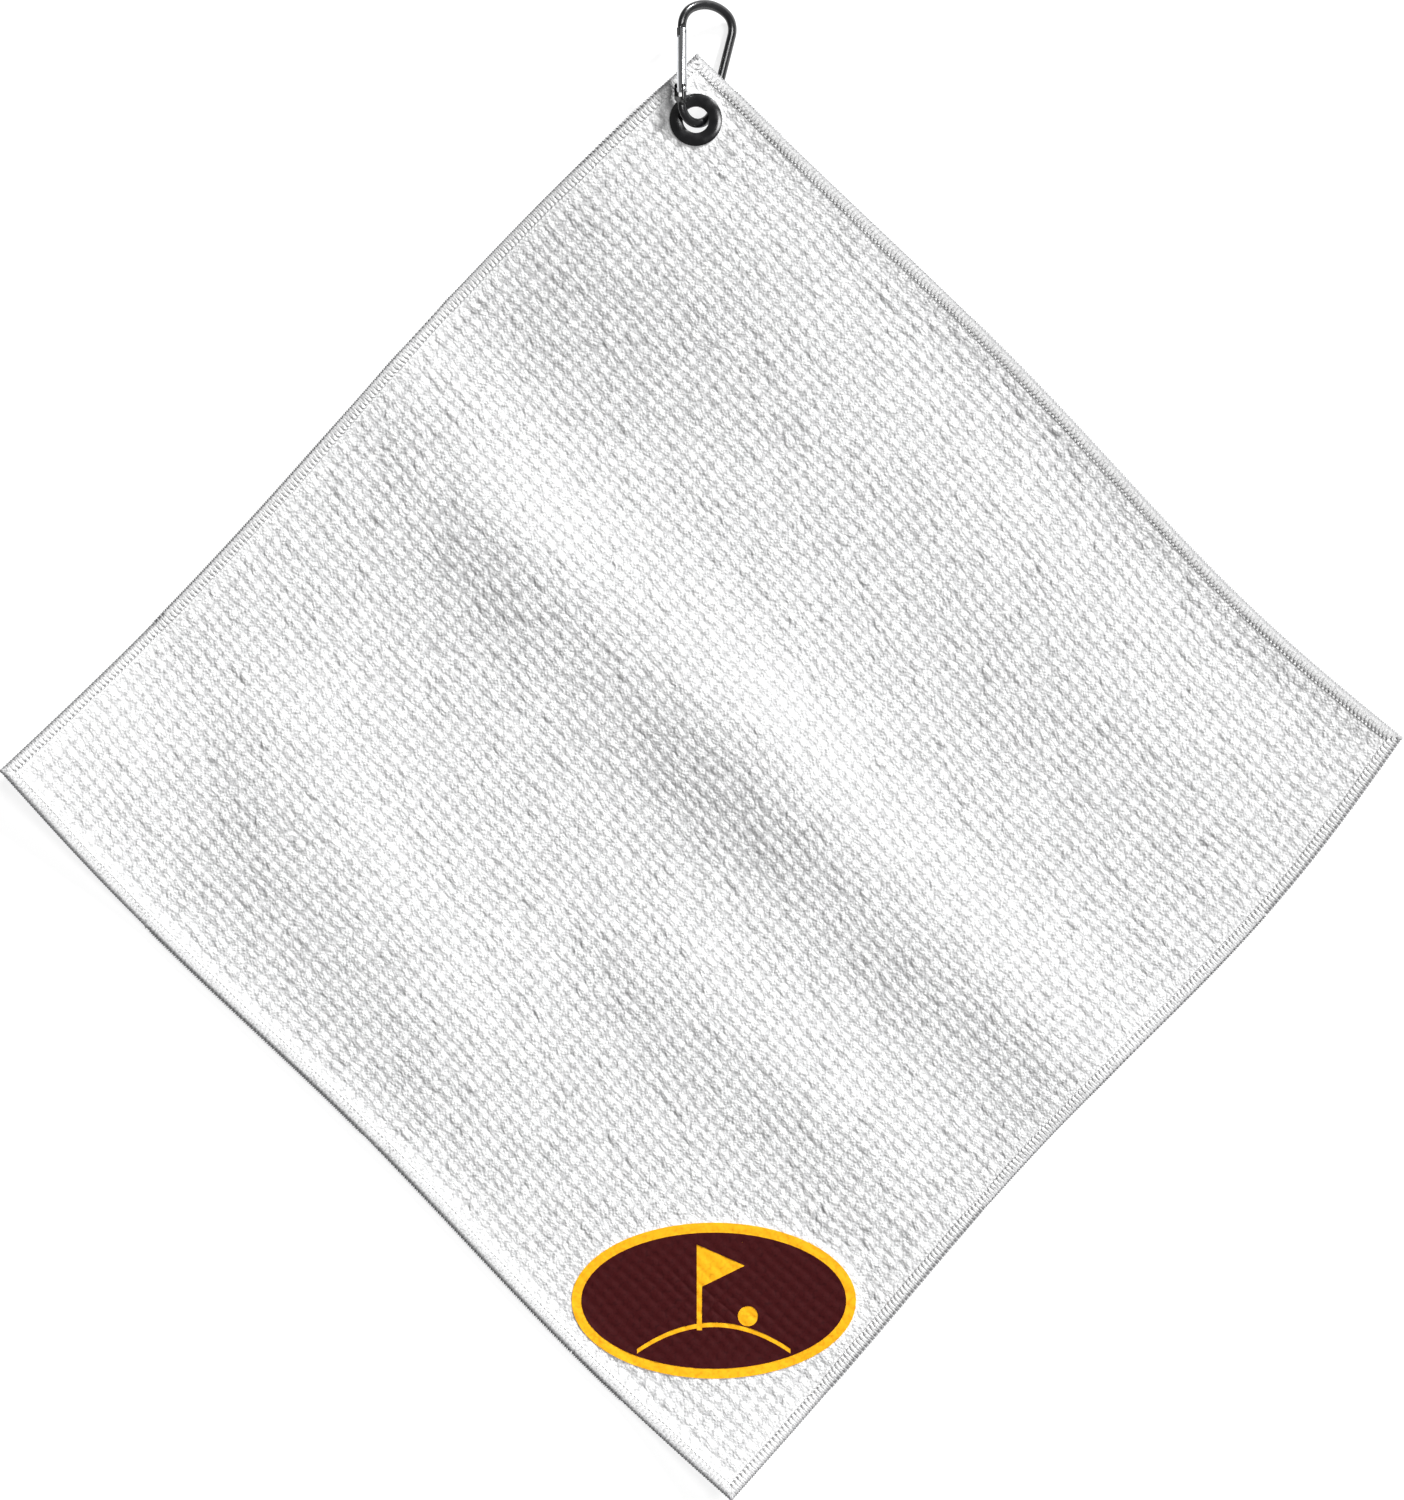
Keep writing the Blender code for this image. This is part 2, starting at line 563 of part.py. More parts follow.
def build_badge(base_finish, top_finish):
    """A gold oval with a maroon one on it, cut out as a flag on a green and a ball."""
    low = CLOTH_THICK + GAP
    top = low + FILM_THICK + GAP
    flat_shape("emblem_base_film", oval(BADGE_WIDE, BADGE_HIGH), low, low + FILM_THICK, base_finish)
    inner_wide = BADGE_WIDE - 2 * BADGE_BORDER
    inner_high = BADGE_HIGH - 2 * BADGE_BORDER
    film = flat_shape("emblem_top_film", oval(inner_wide, inner_high), top, top + FILM_THICK, top_finish)
    below = top - GAP / 2
    above = top + FILM_THICK + GAP
    pole_x = -0.06 * BADGE_WIDE
    pole_foot = -0.19 * BADGE_HIGH
    pole_head = 0.36 * BADGE_HIGH
    flag_drop = 0.27 * BADGE_HIGH
    flag_fly = 0.17 * BADGE_WIDE
    pole = [(pole_x, pole_foot), (pole_x + POLE_WIDE, pole_foot), (pole_x + POLE_WIDE, pole_head - flag_drop)]
    pole += [(pole_x + flag_fly, pole_head - flag_drop / 2), (pole_x, pole_head)]
    cut(film, flat_shape("flag_guide", pole, below, above))
    ball = oval(0.13 * BADGE_HIGH, 0.13 * BADGE_HIGH, 20, (0.12 * BADGE_WIDE, -0.1 * BADGE_HIGH))
    cut(film, flat_shape("ball_guide", ball, below, above))
    green_wide = 0.54 * BADGE_WIDE
    green_rise = 0.17 * BADGE_HIGH
    green_low = -0.31 * BADGE_HIGH
    green = []
    for depth, order in ((0.0, 1), (GREEN_LINE, -1)):
        for k in range(17)[::order]:
            across = k / 8.0 - 1.0
            rise = green_rise * (1.0 - across * across)
            green.append((across * green_wide / 2, green_low + rise - depth))
    cut(film, flat_shape("green_guide", green, below, above))
    for thing in bpy.data.objects:
        if thing.name.startswith(("emblem_", "flag_", "ball_", "green_")):
            thing.location = (BADGE_AT[0], BADGE_AT[1], 0.0)


clear_scene()
build_cloth(material("white_waffle_cloth", WHITE, 0.95))
build_hems(material("white_overlock_thread", WHITE, 0.85))
build_eyelet(material("black_eyelet_enamel", BLACK, 0.25, 0.6))
build_carabiner(material("black_anodised_bar", BLACK, 0.22, 0.6), material("bright_steel", STEEL, 0.25, 1.0))
build_badge(material("gold_transfer_film", GOLD, 0.5), material("maroon_transfer_film", MAROON, 0.5))
bpy.context.view_layer.update()
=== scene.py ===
"""A golf towel laid out flat, with its eyelet, spring-gate carabiner and badge, as it looks.

Metres, +Z up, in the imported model's own frame: the origin is on the cloth's underside, where the
towel's two diagonals cross, and +Y points at the eyelet corner.
"""

import math

import bmesh
import bpy
import numpy as np
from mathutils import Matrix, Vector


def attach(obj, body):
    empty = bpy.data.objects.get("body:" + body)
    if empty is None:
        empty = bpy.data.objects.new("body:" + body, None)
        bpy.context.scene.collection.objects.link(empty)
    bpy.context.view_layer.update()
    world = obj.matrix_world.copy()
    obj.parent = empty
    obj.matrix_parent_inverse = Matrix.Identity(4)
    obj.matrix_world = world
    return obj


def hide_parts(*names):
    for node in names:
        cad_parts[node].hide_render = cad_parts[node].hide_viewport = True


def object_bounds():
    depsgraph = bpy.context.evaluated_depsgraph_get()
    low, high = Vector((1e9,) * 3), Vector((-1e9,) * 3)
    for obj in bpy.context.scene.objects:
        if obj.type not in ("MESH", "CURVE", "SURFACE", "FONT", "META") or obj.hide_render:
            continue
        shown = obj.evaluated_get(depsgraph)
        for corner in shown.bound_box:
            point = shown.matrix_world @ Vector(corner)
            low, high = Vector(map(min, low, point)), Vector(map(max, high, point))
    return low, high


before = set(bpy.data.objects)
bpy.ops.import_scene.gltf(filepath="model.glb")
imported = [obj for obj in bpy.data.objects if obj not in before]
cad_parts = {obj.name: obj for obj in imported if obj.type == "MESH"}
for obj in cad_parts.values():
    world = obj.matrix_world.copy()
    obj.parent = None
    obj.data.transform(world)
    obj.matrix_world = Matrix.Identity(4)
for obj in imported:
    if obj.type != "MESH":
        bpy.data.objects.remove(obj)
cad_box = [list(corner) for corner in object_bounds()]


# ---- the cloth
# One square of white microfibre in a pebbled waffle weave, cut to size before its edges are sewn.
# It lies where it was dropped: a little out of square, in low soft folds, its eyelet corner held
# up off the surface by the carabiner, and pressed thin where the eyelet grips it.

MM = 0.001
TOWEL_SIDE = 406.0 * MM
LAY_TURN = math.radians(1.35)
PULL_UP = -4.8 * MM
PULL_LEFT = 0.5 * MM
PULL_DOWN = 14.0 * MM
PULL_RIGHT = -9.1 * MM
BOW_UPPER_LEFT = (1.2 * MM, 3.0 * MM, 0.0)
BOW_UPPER_RIGHT = (-1.5 * MM, 2.5 * MM, -1.5 * MM)
BOW_LOWER_LEFT = (3.0 * MM, 0.0, 2.0 * MM)
BOW_LOWER_RIGHT = (2.2 * MM, 3.0 * MM, 2.0 * MM)
CLOTH_THICK = 1.8 * MM
CLOTH_PINCHED = 1.1 * MM
PINCH_MARGIN = 0.3 * MM
PINCH_BLEND = 3.4 * MM
CLOTH_INSET = 0.8 * MM
HEM_WIDTH = 4.2 * MM
HEM_LIFT = 0.8 * MM
HEM_BLEND = 16.0 * MM
HEM_PRESSED = 0.12

EYELET_FROM_CORNER = 26.5 * MM
EYELET_ASIDE = -1.2 * MM
EYELET_HEIGHT = 9.6225 * MM
HOLE_RADIUS = 5.3 * MM
BARREL_WALL = 0.5 * MM
BARREL_ROOM = 0.3 * MM
PUNCH_REACH = 3.0 * MM
PUNCH_STEPS = 48
FLANGE_RADIUS = 10.6 * MM
LEVEL_RADIUS = 34.0 * MM
LIFT_FALL = 105.0 * MM
TIP_DROOP = 2.9 * MM

# Pebbles of the weave along the two sides, how deep the valleys between them are, and the mesh's
# samples for each pebble: one in the valley and the others on the pebble.
PEBBLES_DOWN = 88
PEBBLES_ACROSS = 73
PEBBLE_DEPTH = 1.15 * MM
PEBBLE_DEPTH_BEHIND = 0.4 * MM
FRONT_SAMPLES = 3
BACK_SAMPLES = 2
PEBBLE_SHIFT = 0.55 * MM
PEBBLE_UNEVEN = 0.4
# The painted-shade mask's value where the weave is pressed or sewn flat, so flat cloth still gets some
# painted shade between its loops.
FLAT_TONE = 0.6
WEAVE_FROM_HEM = 3.6 * MM
WEAVE_FROM_FLANGE = 2.5 * MM
YARN_WANDER = 0.9 * MM
WEAVE_SEED = 20

# The badge's oval, where the hot press has flattened the weave.
BADGE_AT = (0.0, -221.0 * MM)
BADGE_WIDE = 115.0 * MM
BADGE_HIGH = 63.0 * MM
BADGE_PRESSED = 0.4

# Low folds left by how the towel was folded before: start, end, height and half width.
FOLDS = (
    ((-150.0, 190.0), (-62.0, 62.0), 2.2, 27.0),
    ((-100.0, 100.0), (50.0, -20.0), 3.0, 29.0),
    ((-10.0, 20.0), (165.0, -140.0), 3.6, 30.0),
    ((-190.0, 20.0), (-95.0, -135.0), 3.0, 34.0),
    ((100.0, 90.0), (215.0, -25.0), 1.5, 32.0),
    ((-40.0, -70.0), (80.0, -175.0), 2.2, 26.0),
    ((0.0, 190.0), (110.0, 90.0), 1.0, 30.0),
)
LEFT_CORNER_LIFT = 11.0 * MM
LEFT_CORNER_REACH = 85.0 * MM
BOTTOM_CORNER_LIFT = 8.0 * MM
BOTTOM_CORNER_REACH = 60.0 * MM

# The cloth's own white, and the grey painted into the weave's valleys and between its loops as shade.
CLOTH_WHITE = (0.93, 0.93, 0.93)
CLOTH_VALLEY_SHADE = (0.58, 0.58, 0.585)
FIBRE_SIZE = 0.55 * MM
LOOP_SIZE = 1.25 * MM


def towel_axes(along_right, along_up):
    """A place given along the towel's own diagonals, turned to how the towel lies."""
    c = math.cos(LAY_TURN)
    s = math.sin(LAY_TURN)
    return np.array([c * along_right - s * along_up, s * along_right + c * along_up])


HALF_DIAGONAL = TOWEL_SIDE / math.sqrt(2.0)
CORNER_UP = towel_axes(0.0, HALF_DIAGONAL + PULL_UP)
CORNER_LEFT = towel_axes(-HALF_DIAGONAL - PULL_LEFT, 0.0)
CORNER_DOWN = towel_axes(0.0, -HALF_DIAGONAL - PULL_DOWN)
CORNER_RIGHT = towel_axes(HALF_DIAGONAL + PULL_RIGHT, 0.0)
EYELET = towel_axes(EYELET_ASIDE, HALF_DIAGONAL + PULL_UP - EYELET_FROM_CORNER)


def ease(x):
    """0 below 0, 1 above 1, and a smooth step between."""
    x = np.clip(x, 0.0, 1.0)
    return x * x * (3.0 - 2.0 * x)


def edge(start, end, bow, t):
    """Points at t along one edge: its straight line plus three sine waves outwards."""
    run = end - start
    out = np.array([run[1], -run[0]]) / np.linalg.norm(run)
    if np.dot(out, start + end) < 0.0:
        out = -out
    wave = sum(height * np.sin((k + 1) * math.pi * t) for k, height in enumerate(bow))
    return start + run * t[..., None] + out * wave[..., None]


def from_edge(s, t):
    """How far in from the nearest edge of the cloth."""
    return np.minimum(np.minimum(s, t), np.minimum(1 - s, 1 - t)) * TOWEL_SIDE


def past_flange(plan):
    """How far outside the eyelet's flange."""
    return np.linalg.norm(plan - EYELET, axis=-1) - FLANGE_RADIUS


def lay(s, t):
    """The cloth's plan: s runs from the eyelet corner to the left one, t to the right one.

    It is the patch that blends the four bowed edges, with each yarn wandering a little sideways.
    """
    s = np.asarray(s, float)
    t = np.asarray(t, float)
    s_wide = s[..., None]
    t_wide = t[..., None]
    plan = (1 - t_wide) * edge(CORNER_UP, CORNER_LEFT, BOW_UPPER_LEFT, s)
    plan = plan + t_wide * edge(CORNER_RIGHT, CORNER_DOWN, BOW_LOWER_RIGHT, s)
    plan = plan + (1 - s_wide) * edge(CORNER_UP, CORNER_RIGHT, BOW_UPPER_RIGHT, t)
    plan = plan + s_wide * edge(CORNER_LEFT, CORNER_DOWN, BOW_LOWER_LEFT, t)
    plan = plan - (1 - s_wide) * (1 - t_wide) * CORNER_UP - s_wide * (1 - t_wide) * CORNER_LEFT
    plan = plan - (1 - s_wide) * t_wide * CORNER_RIGHT - s_wide * t_wide * CORNER_DOWN
    free = ease(from_edge(s, t) / (3.0 * HEM_WIDTH))
    turn = 2.0 * math.pi
    right = np.sin(turn * (7.3 * s + 1.9 * t)) + np.sin(turn * (3.1 * t - 11.7 * s) + 1.0)
    up = np.sin(turn * (6.1 * t - 2.3 * s) + 0.6) + np.sin(turn * (12.9 * t + 4.1 * s) + 2.0)
    wander = 0.5 * YARN_WANDER * free[..., None] * np.stack([right, up], axis=-1)
    return plan + wander


def folds(plan):
    """Height of the soft folds: each a rounded ridge along a line, fading at both ends."""
    height = np.zeros(plan.shape[:-1])
    for start, end, high, half_wide in FOLDS:
        start = np.array(start) * MM
        run = np.array(end) * MM - start
        length = np.linalg.norm(run)
        away = plan - start
        along = (away @ run) / length ** 2
        aside = (away @ np.array([-run[1], run[0]])) / length
        fade = ease(along / 0.3 + 0.5) * ease((1.0 - along) / 0.3 + 0.5)
        height = height + high * MM * fade * np.exp(-(aside / (half_wide * MM)) ** 2)
    to_left = 1.0 - np.linalg.norm(plan - CORNER_LEFT, axis=-1) / LEFT_CORNER_REACH
    to_bottom = 1.0 - np.linalg.norm(plan - CORNER_DOWN, axis=-1) / BOTTOM_CORNER_REACH
    height = height + LEFT_CORNER_LIFT * np.clip(to_left, 0.0, 1.0) ** 1.3
    return height + BOTTOM_CORNER_LIFT * np.clip(to_bottom, 0.0, 1.0) ** 1.3


def middle_height(plan, s, t):
    """Height of the cloth's middle: on the surface, over the hems, over folds, up at the eyelet."""
    over_hem = HEM_LIFT * (1.0 - ease((from_edge(s, t) - HEM_WIDTH) / HEM_BLEND))
    lying = CLOTH_THICK / 2 + over_hem
    away = plan - EYELET
    raised = 1.0 - ease((np.linalg.norm(away, axis=-1) - LEVEL_RADIUS) / LIFT_FALL)
    towards_tip = away @ towel_axes(0.0, 1.0)
    tip = ease((towards_tip - FLANGE_RADIUS) / (EYELET_FROM_CORNER - FLANGE_RADIUS))
    lying = lying + folds(plan) * (1.0 - raised)
    return lying + (EYELET_HEIGHT - lying) * raised - TIP_DROOP * tip


def half_thickness(plan):
    """Half the cloth's thickness, less where the eyelet pinches it."""
    outside = ease((past_flange(plan) - PINCH_MARGIN) / PINCH_BLEND)
    return (CLOTH_PINCHED + (CLOTH_THICK - CLOTH_PINCHED) * outside) / 2


def weave_freedom(plan, s, t):
    """How far the weave stands up: none under the hems and the eyelet, less under the badge."""
    free = ease((from_edge(s, t) - HEM_WIDTH) / WEAVE_FROM_HEM)
    free = free * ease(past_flange(plan) / WEAVE_FROM_FLANGE)
    ring = np.hypot((plan[..., 0] - BADGE_AT[0]) * 2 / BADGE_WIDE,
                    (plan[..., 1] - BADGE_AT[1]) * 2 / BADGE_HIGH)
    return free * (BADGE_PRESSED + (1.0 - BADGE_PRESSED) * ease((ring - 1.0) / 0.08))


def flat_level(plan, s, t):
    """Where the weave is flat, its level: a pebble's top, or lower where a hem's threads press it."""
    hems_in = from_edge(s, t) / HEM_WIDTH
    under_thread = ease(hems_in) * (1.0 - ease(hems_in - 2.0))
    return 1.0 - HEM_PRESSED * under_thread * ease(past_flange(plan) / WEAVE_FROM_FLANGE)


def pebble(s, t):
    """The weave's relief, 0 in the valleys and 1 on a pebble: a sine hump each way, rounded off."""
    down = np.abs(np.sin(math.pi * PEBBLES_DOWN * s))
    across = np.abs(np.sin(math.pi * PEBBLES_ACROSS * t))
    return (down * across) ** 0.7


def cloth_layer(samples, side, chance):
    """One face of the cloth as a grid of points, its tone, and its place in the weave.

    The tone is the mask for the painted shade in the weave's valleys: the relief, and a middle tone where
    the weave is pressed or sewn flat.
    """
    rows = PEBBLES_DOWN * samples + 1
    columns = PEBBLES_ACROSS * samples + 1
    inset = CLOTH_INSET / TOWEL_SIDE
    s, t = np.meshgrid(np.linspace(0.0, 1.0, rows), np.linspace(0.0, 1.0, columns), indexing="ij")
    height = pebble(s, t)
    knobs = 1.0 - PEBBLE_UNEVEN * chance.random((PEBBLES_DOWN + 1, PEBBLES_ACROSS + 1))
    height = height * knobs[np.arange(rows)[:, None] // samples, np.arange(columns)[None, :] // samples]
    weave = np.stack([s, t], axis=-1)
    s = inset + (1.0 - 2.0 * inset) * s
    t = inset + (1.0 - 2.0 * inset) * t
    plan = lay(s, t)
    free = weave_freedom(plan, s, t)
    # Painted shade: the tone is low in the valleys, where the cloth is coloured grey.
    tone = height * free + FLAT_TONE * (1.0 - free)
    height = height * free + flat_level(plan, s, t) * (1.0 - free)
    depth = PEBBLE_DEPTH if side > 0 else PEBBLE_DEPTH_BEHIND
    z = middle_height(plan, s, t) + side * (half_thickness(plan) - depth * (1.0 - height))
    shift = PEBBLE_SHIFT * (2.0 * chance.random(plan.shape) - 1.0) * free[..., None]
    plan = plan + shift
    return np.concatenate([plan, z[..., None]], axis=-1), tone, weave


def grid_faces(rows, columns, first=0):
    """Quads between the points of a grid that is stored row by row."""
    corner = first + np.arange(rows - 1)[:, None] * columns + np.arange(columns - 1)[None, :]
    return np.stack([corner, corner + columns, corner + columns + 1, corner + 1], axis=-1).reshape(-1, 4)


def rim_faces(front, back):
    """Faces between the front's rim, three steps to a pebble, and the back's, two steps."""
    f0, f1, f2, f3 = front[0:-1:3], front[1::3], front[2::3], front[3::3]
    b0, b1, b2 = back[0:-1:2], back[1::2], back[2::2]
    wide = np.concatenate([np.stack([f0, f1, b1, b0], -1), np.stack([f2, f3, b2, b1], -1)])
    return wide.tolist() + np.stack([f1, f2, b1], -1).tolist()


def new_piece(name, points, faces, finish):
    """A mesh object at the origin from its points and faces, shaded smooth."""
    mesh = bpy.data.meshes.new(name)
    mesh.from_pydata(np.asarray(points).reshape(-1, 3).tolist(), [], faces)
    mesh.shade_smooth()
    if finish is not None:
        mesh.materials.append(finish)
    piece = bpy.data.objects.new(name, mesh)
    bpy.context.scene.collection.objects.link(piece)
    return piece


def shade(piece, sharp):
    """Smooth shading, with edges sharper than the angle kept crisp."""
    piece.data.shade_smooth()
    piece.data.set_sharp_from_angle(angle=math.radians(sharp))


def face_outwards(piece, sharp=None):
    """Turns all faces of a closed piece outwards, with edges sharper than the angle kept crisp."""
    shell = bmesh.new()
    shell.from_mesh(piece.data)
    bmesh.ops.recalc_face_normals(shell, faces=shell.faces)
    shell.to_mesh(piece.data)
    shell.free()
    if sharp is not None:
        piece.data.set_sharp_from_angle(angle=math.radians(sharp))


def apply_modifiers(piece):
    """The piece's modifiers worked into its mesh."""
    shape = bpy.data.meshes.new_from_object(piece.evaluated_get(bpy.context.evaluated_depsgraph_get()))
    old = piece.data
    piece.modifiers.clear()
    piece.data = shape
    shape.name = old.name
    bpy.data.meshes.remove(old)


def cut_with(piece, cutters):
    """Takes closed shapes out of the piece and removes them from the scene."""
    for cutter in cutters:
        step = piece.modifiers.new("cut", "BOOLEAN")
        step.operation = "DIFFERENCE"
        step.solver = "EXACT"
        step.object = cutter
    apply_modifiers(piece)
    for cutter in cutters:
        bpy.data.meshes.remove(cutter.data)


def turned_points(profile, centre, steps):
    """A closed (radius, height) profile turned once about the vertical through centre."""
    profile = np.asarray(profile)
    turn = 2.0 * math.pi * np.arange(steps)[:, None] / steps
    x = centre[0] + profile[None, :, 0] * np.cos(turn)
    y = centre[1] + profile[None, :, 0] * np.sin(turn)
    z = centre[2] + np.broadcast_to(profile[None, :, 1], x.shape)
    return np.stack([x, y, z], axis=-1)


def ring_faces(rings, sides, closed=False):
    """Quads between rings of points that follow each other, capped flat unless they close up."""
    here = np.arange(rings if closed else rings - 1)[:, None] * sides
    after = np.roll(np.arange(rings), -1)[: len(here), None] * sides
    j = np.arange(sides)[None, :]
    k = (j + 1) % sides
    faces = np.stack([here + j, here + k, after + k, after + j], axis=-1).reshape(-1, 4).tolist()
    if not closed:
        faces.append(list(range(sides))[::-1])
        faces.append(list(range((rings - 1) * sides, rings * sides)))
    return faces


def new_material(name):
    """An empty material with its Principled shader, and short ways to reach its nodes."""
    made = bpy.data.materials.new(name)
    made.use_nodes = True
    return made, made.node_tree.nodes, made.node_tree.links, made.node_tree.nodes["Principled BSDF"]


def set_inputs(node, values):
    """Gives a node's inputs their values."""
    for name, value in values.items():
        node.inputs[name].default_value = value


def new_group(name, amounts, results):
    """An empty node group that takes a vector and amounts and gives single values."""
    group = bpy.data.node_groups.new(name, "ShaderNodeTree")
    group.interface.new_socket(name="Vector", in_out="INPUT", socket_type="NodeSocketVector")
    for amount in amounts:
        group.interface.new_socket(name=amount, in_out="INPUT", socket_type="NodeSocketFloat")
    for result in results:
        group.interface.new_socket(name=result, in_out="OUTPUT", socket_type="NodeSocketFloat")
    nodes = group.nodes
    return group, nodes, group.links, nodes.new("NodeGroupInput"), nodes.new("NodeGroupOutput")


def add_group(nodes, links, group, values):
    """A node group with its values, placed by the piece's own coordinates."""
    place = nodes.new("ShaderNodeTexCoord")
    node = nodes.new("ShaderNodeGroup")
    node.node_tree = group
    set_inputs(node, values)
    links.new(place.outputs["Object"], node.inputs["Vector"])
    return node


def add_product(nodes, links, first, second):
    """The product of two outputs."""
    product = nodes.new("ShaderNodeMath")
    product.operation = "MULTIPLY"
    links.new(first, product.inputs[0])
    links.new(second, product.inputs[1])
    return product.outputs[0]


def add_tone(nodes, links, shader, amount, stops):
    """The shader's colour from an amount, through (place, colour) stops."""
    tone = nodes.new("ShaderNodeValToRGB")
    for element, (position, colour) in zip(tone.color_ramp.elements, stops):
        element.position = position
        element.color = (*colour, 1.0)
    links.new(amount, tone.inputs["Fac"])
    links.new(tone.outputs["Color"], shader.inputs["Base Color"])


def add_bump(nodes, links, shader, height, strength, distance):
    """Relief on the shader's normal from a height."""
    bump = nodes.new("ShaderNodeBump")
    set_inputs(bump, {"Strength": strength, "Distance": distance})
    links.new(height, bump.inputs["Height"])
    links.new(bump.outputs["Normal"], shader.inputs["Normal"])


def fibre_group():
    """Fine loose fibres and the small loops they are gathered in, as a height and a painted shade that is
    darker in the gaps between the loops.

    The loops are the rounded cells of a Voronoi pattern, and the fibres are fine noise over them.
    """
    amounts = ("Loops per metre", "Fibres per metre", "Loop share")
    group, nodes, links, given, result = new_group("fibre_pile", amounts, ("Height", "Shade"))
    loops = nodes.new("ShaderNodeTexVoronoi")
    loops.feature = "SMOOTH_F1"
    loops.inputs["Smoothness"].default_value = 0.35
    fibres = nodes.new("ShaderNodeTexNoise")
    set_inputs(fibres, {"Detail": 3.0, "Roughness": 0.6})
    raised = nodes.new("ShaderNodeMath")
    raised.operation = "SUBTRACT"
    raised.inputs[0].default_value = 1.0
    blend = nodes.new("ShaderNodeMix")
    blend.data_type = "FLOAT"
    links.new(given.outputs["Vector"], loops.inputs["Vector"])
    links.new(given.outputs["Vector"], fibres.inputs["Vector"])
    links.new(given.outputs["Loops per metre"], loops.inputs["Scale"])
    links.new(given.outputs["Fibres per metre"], fibres.inputs["Scale"])
    links.new(loops.outputs["Distance"], raised.inputs[1])
    links.new(given.outputs["Loop share"], blend.inputs[0])
    links.new(fibres.outputs["Fac"], blend.inputs[2])
    links.new(raised.outputs[0], blend.inputs[3])
    links.new(blend.outputs[0], result.inputs["Height"])
    # Painted shade: darker towards the edges of each loop's cell, where the height is low.
    links.new(raised.outputs[0], result.inputs["Shade"])
    return group


FIBRE_PILE = fibre_group()


def cloth_finish():
    """White brushed microfibre, the valleys between its pebbles and its loops painted grey as shade, with
    loose fibres.
    """
    made, nodes, links, shader = new_material("white_waffle_microfibre")
    set_inputs(shader, {"Roughness": 0.92, "Specular IOR Level": 0.25, "Sheen Weight": 0.25,
                        "Sheen Roughness": 0.5})
    pile = add_group(nodes, links, FIBRE_PILE, {
        "Loops per metre": 1.0 / LOOP_SIZE, "Fibres per metre": 1.0 / FIBRE_SIZE, "Loop share": 0.6})
    relief = nodes.new("ShaderNodeAttribute")
    relief.attribute_name = "pebble"
    shade_map = nodes.new("ShaderNodeMapRange")
    set_inputs(shade_map, {"From Min": 0.35, "From Max": 0.75, "To Min": 0.55, "To Max": 1.15})
    links.new(pile.outputs["Shade"], shade_map.inputs["Value"])
    # Painted shade: the pebble relief times the loops' shade picks the grey of the valleys.
    amount = add_product(nodes, links, relief.outputs["Fac"], shade_map.outputs["Result"])
    add_tone(nodes, links, shader, amount, ((0.0, CLOTH_VALLEY_SHADE), (0.48, CLOTH_WHITE)))
    add_bump(nodes, links, shader, pile.outputs["Height"], 1.0, 0.6 * MM)
    return made


def weave_cloth():
    """The closed cloth: its pebbled face, its flatter back, the rim between them and the hole."""
    chance = np.random.default_rng(WEAVE_SEED)
    front, front_relief, front_weave = cloth_layer(FRONT_SAMPLES, 1.0, chance)
    back, back_relief, back_weave = cloth_layer(BACK_SAMPLES, -1.0, chance)
    rows, columns = front.shape[:2]
    first = rows * columns
    ids = np.arange(first).reshape(rows, columns)
    back_ids = first + np.arange(back.shape[0] * back.shape[1]).reshape(back.shape[:2])
    faces = grid_faces(rows, columns).tolist()
    faces += grid_faces(back.shape[0], back.shape[1], first)[:, ::-1].tolist()
    for line, under in ((ids[:, 0], back_ids[:, 0]), (ids[:, -1], back_ids[:, -1]),
                        (ids[0], back_ids[0]), (ids[-1], back_ids[-1])):
        faces += rim_faces(line, under)
    points = np.concatenate([front.reshape(-1, 3), back.reshape(-1, 3)])
    piece = new_piece("waffle_cloth", points, faces, cloth_finish())
    relief = piece.data.attributes.new("pebble", "FLOAT", "POINT")
    relief.data.foreach_set("value", np.concatenate([front_relief.ravel(), back_relief.ravel()]))
    weave = np.concatenate([front_weave.reshape(-1, 2), back_weave.reshape(-1, 2)])
    corners = np.zeros(len(piece.data.loops), int)
    piece.data.loops.foreach_get("vertex_index", corners)
    piece.data.uv_layers.new(name="weave").data.foreach_set("uv", weave[corners].ravel())
    face_outwards(piece)
    radius = HOLE_RADIUS + BARREL_WALL + BARREL_ROOM
    core = 0.0001 * MM
    plug = ((core, -PUNCH_REACH), (radius, -PUNCH_REACH), (radius, PUNCH_REACH), (core, PUNCH_REACH))
    punch = new_piece("punch", turned_points(plug, (*EYELET, EYELET_HEIGHT), PUNCH_STEPS),
                      ring_faces(PUNCH_STEPS, len(plug), closed=True), None)
    face_outwards(punch)
    cut_with(piece, [punch])
    piece.data.shade_smooth()
    return piece


cloth = weave_cloth()
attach(cloth, "towel")
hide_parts("towel_cloth")


# ---- the overlocked edges
# Each edge is sewn with three threads of fluffy white polyester. The upper looper crosses the face
# from the needle's line to the raw edge and the lower looper crosses the back, and they link at
# the edge itself. The needle thread runs along their inner side as a row of short stitches.

STITCH = 1.9 * MM
LOOPER_HALF_WIDE = 0.8 * MM
LOOPER_HALF_HIGH = 0.3 * MM
LOOPER_POINTS = 10
LOOPER_REACH = 4.4 * MM
LOOPER_ROUND = 1.0 * MM
LOOPER_SINK = 2.4 * MM
LOOPER_LEVEL = 0.9 * MM
NEEDLE_PULL = 0.2 * MM
LINK_OUT = 0.15 * MM
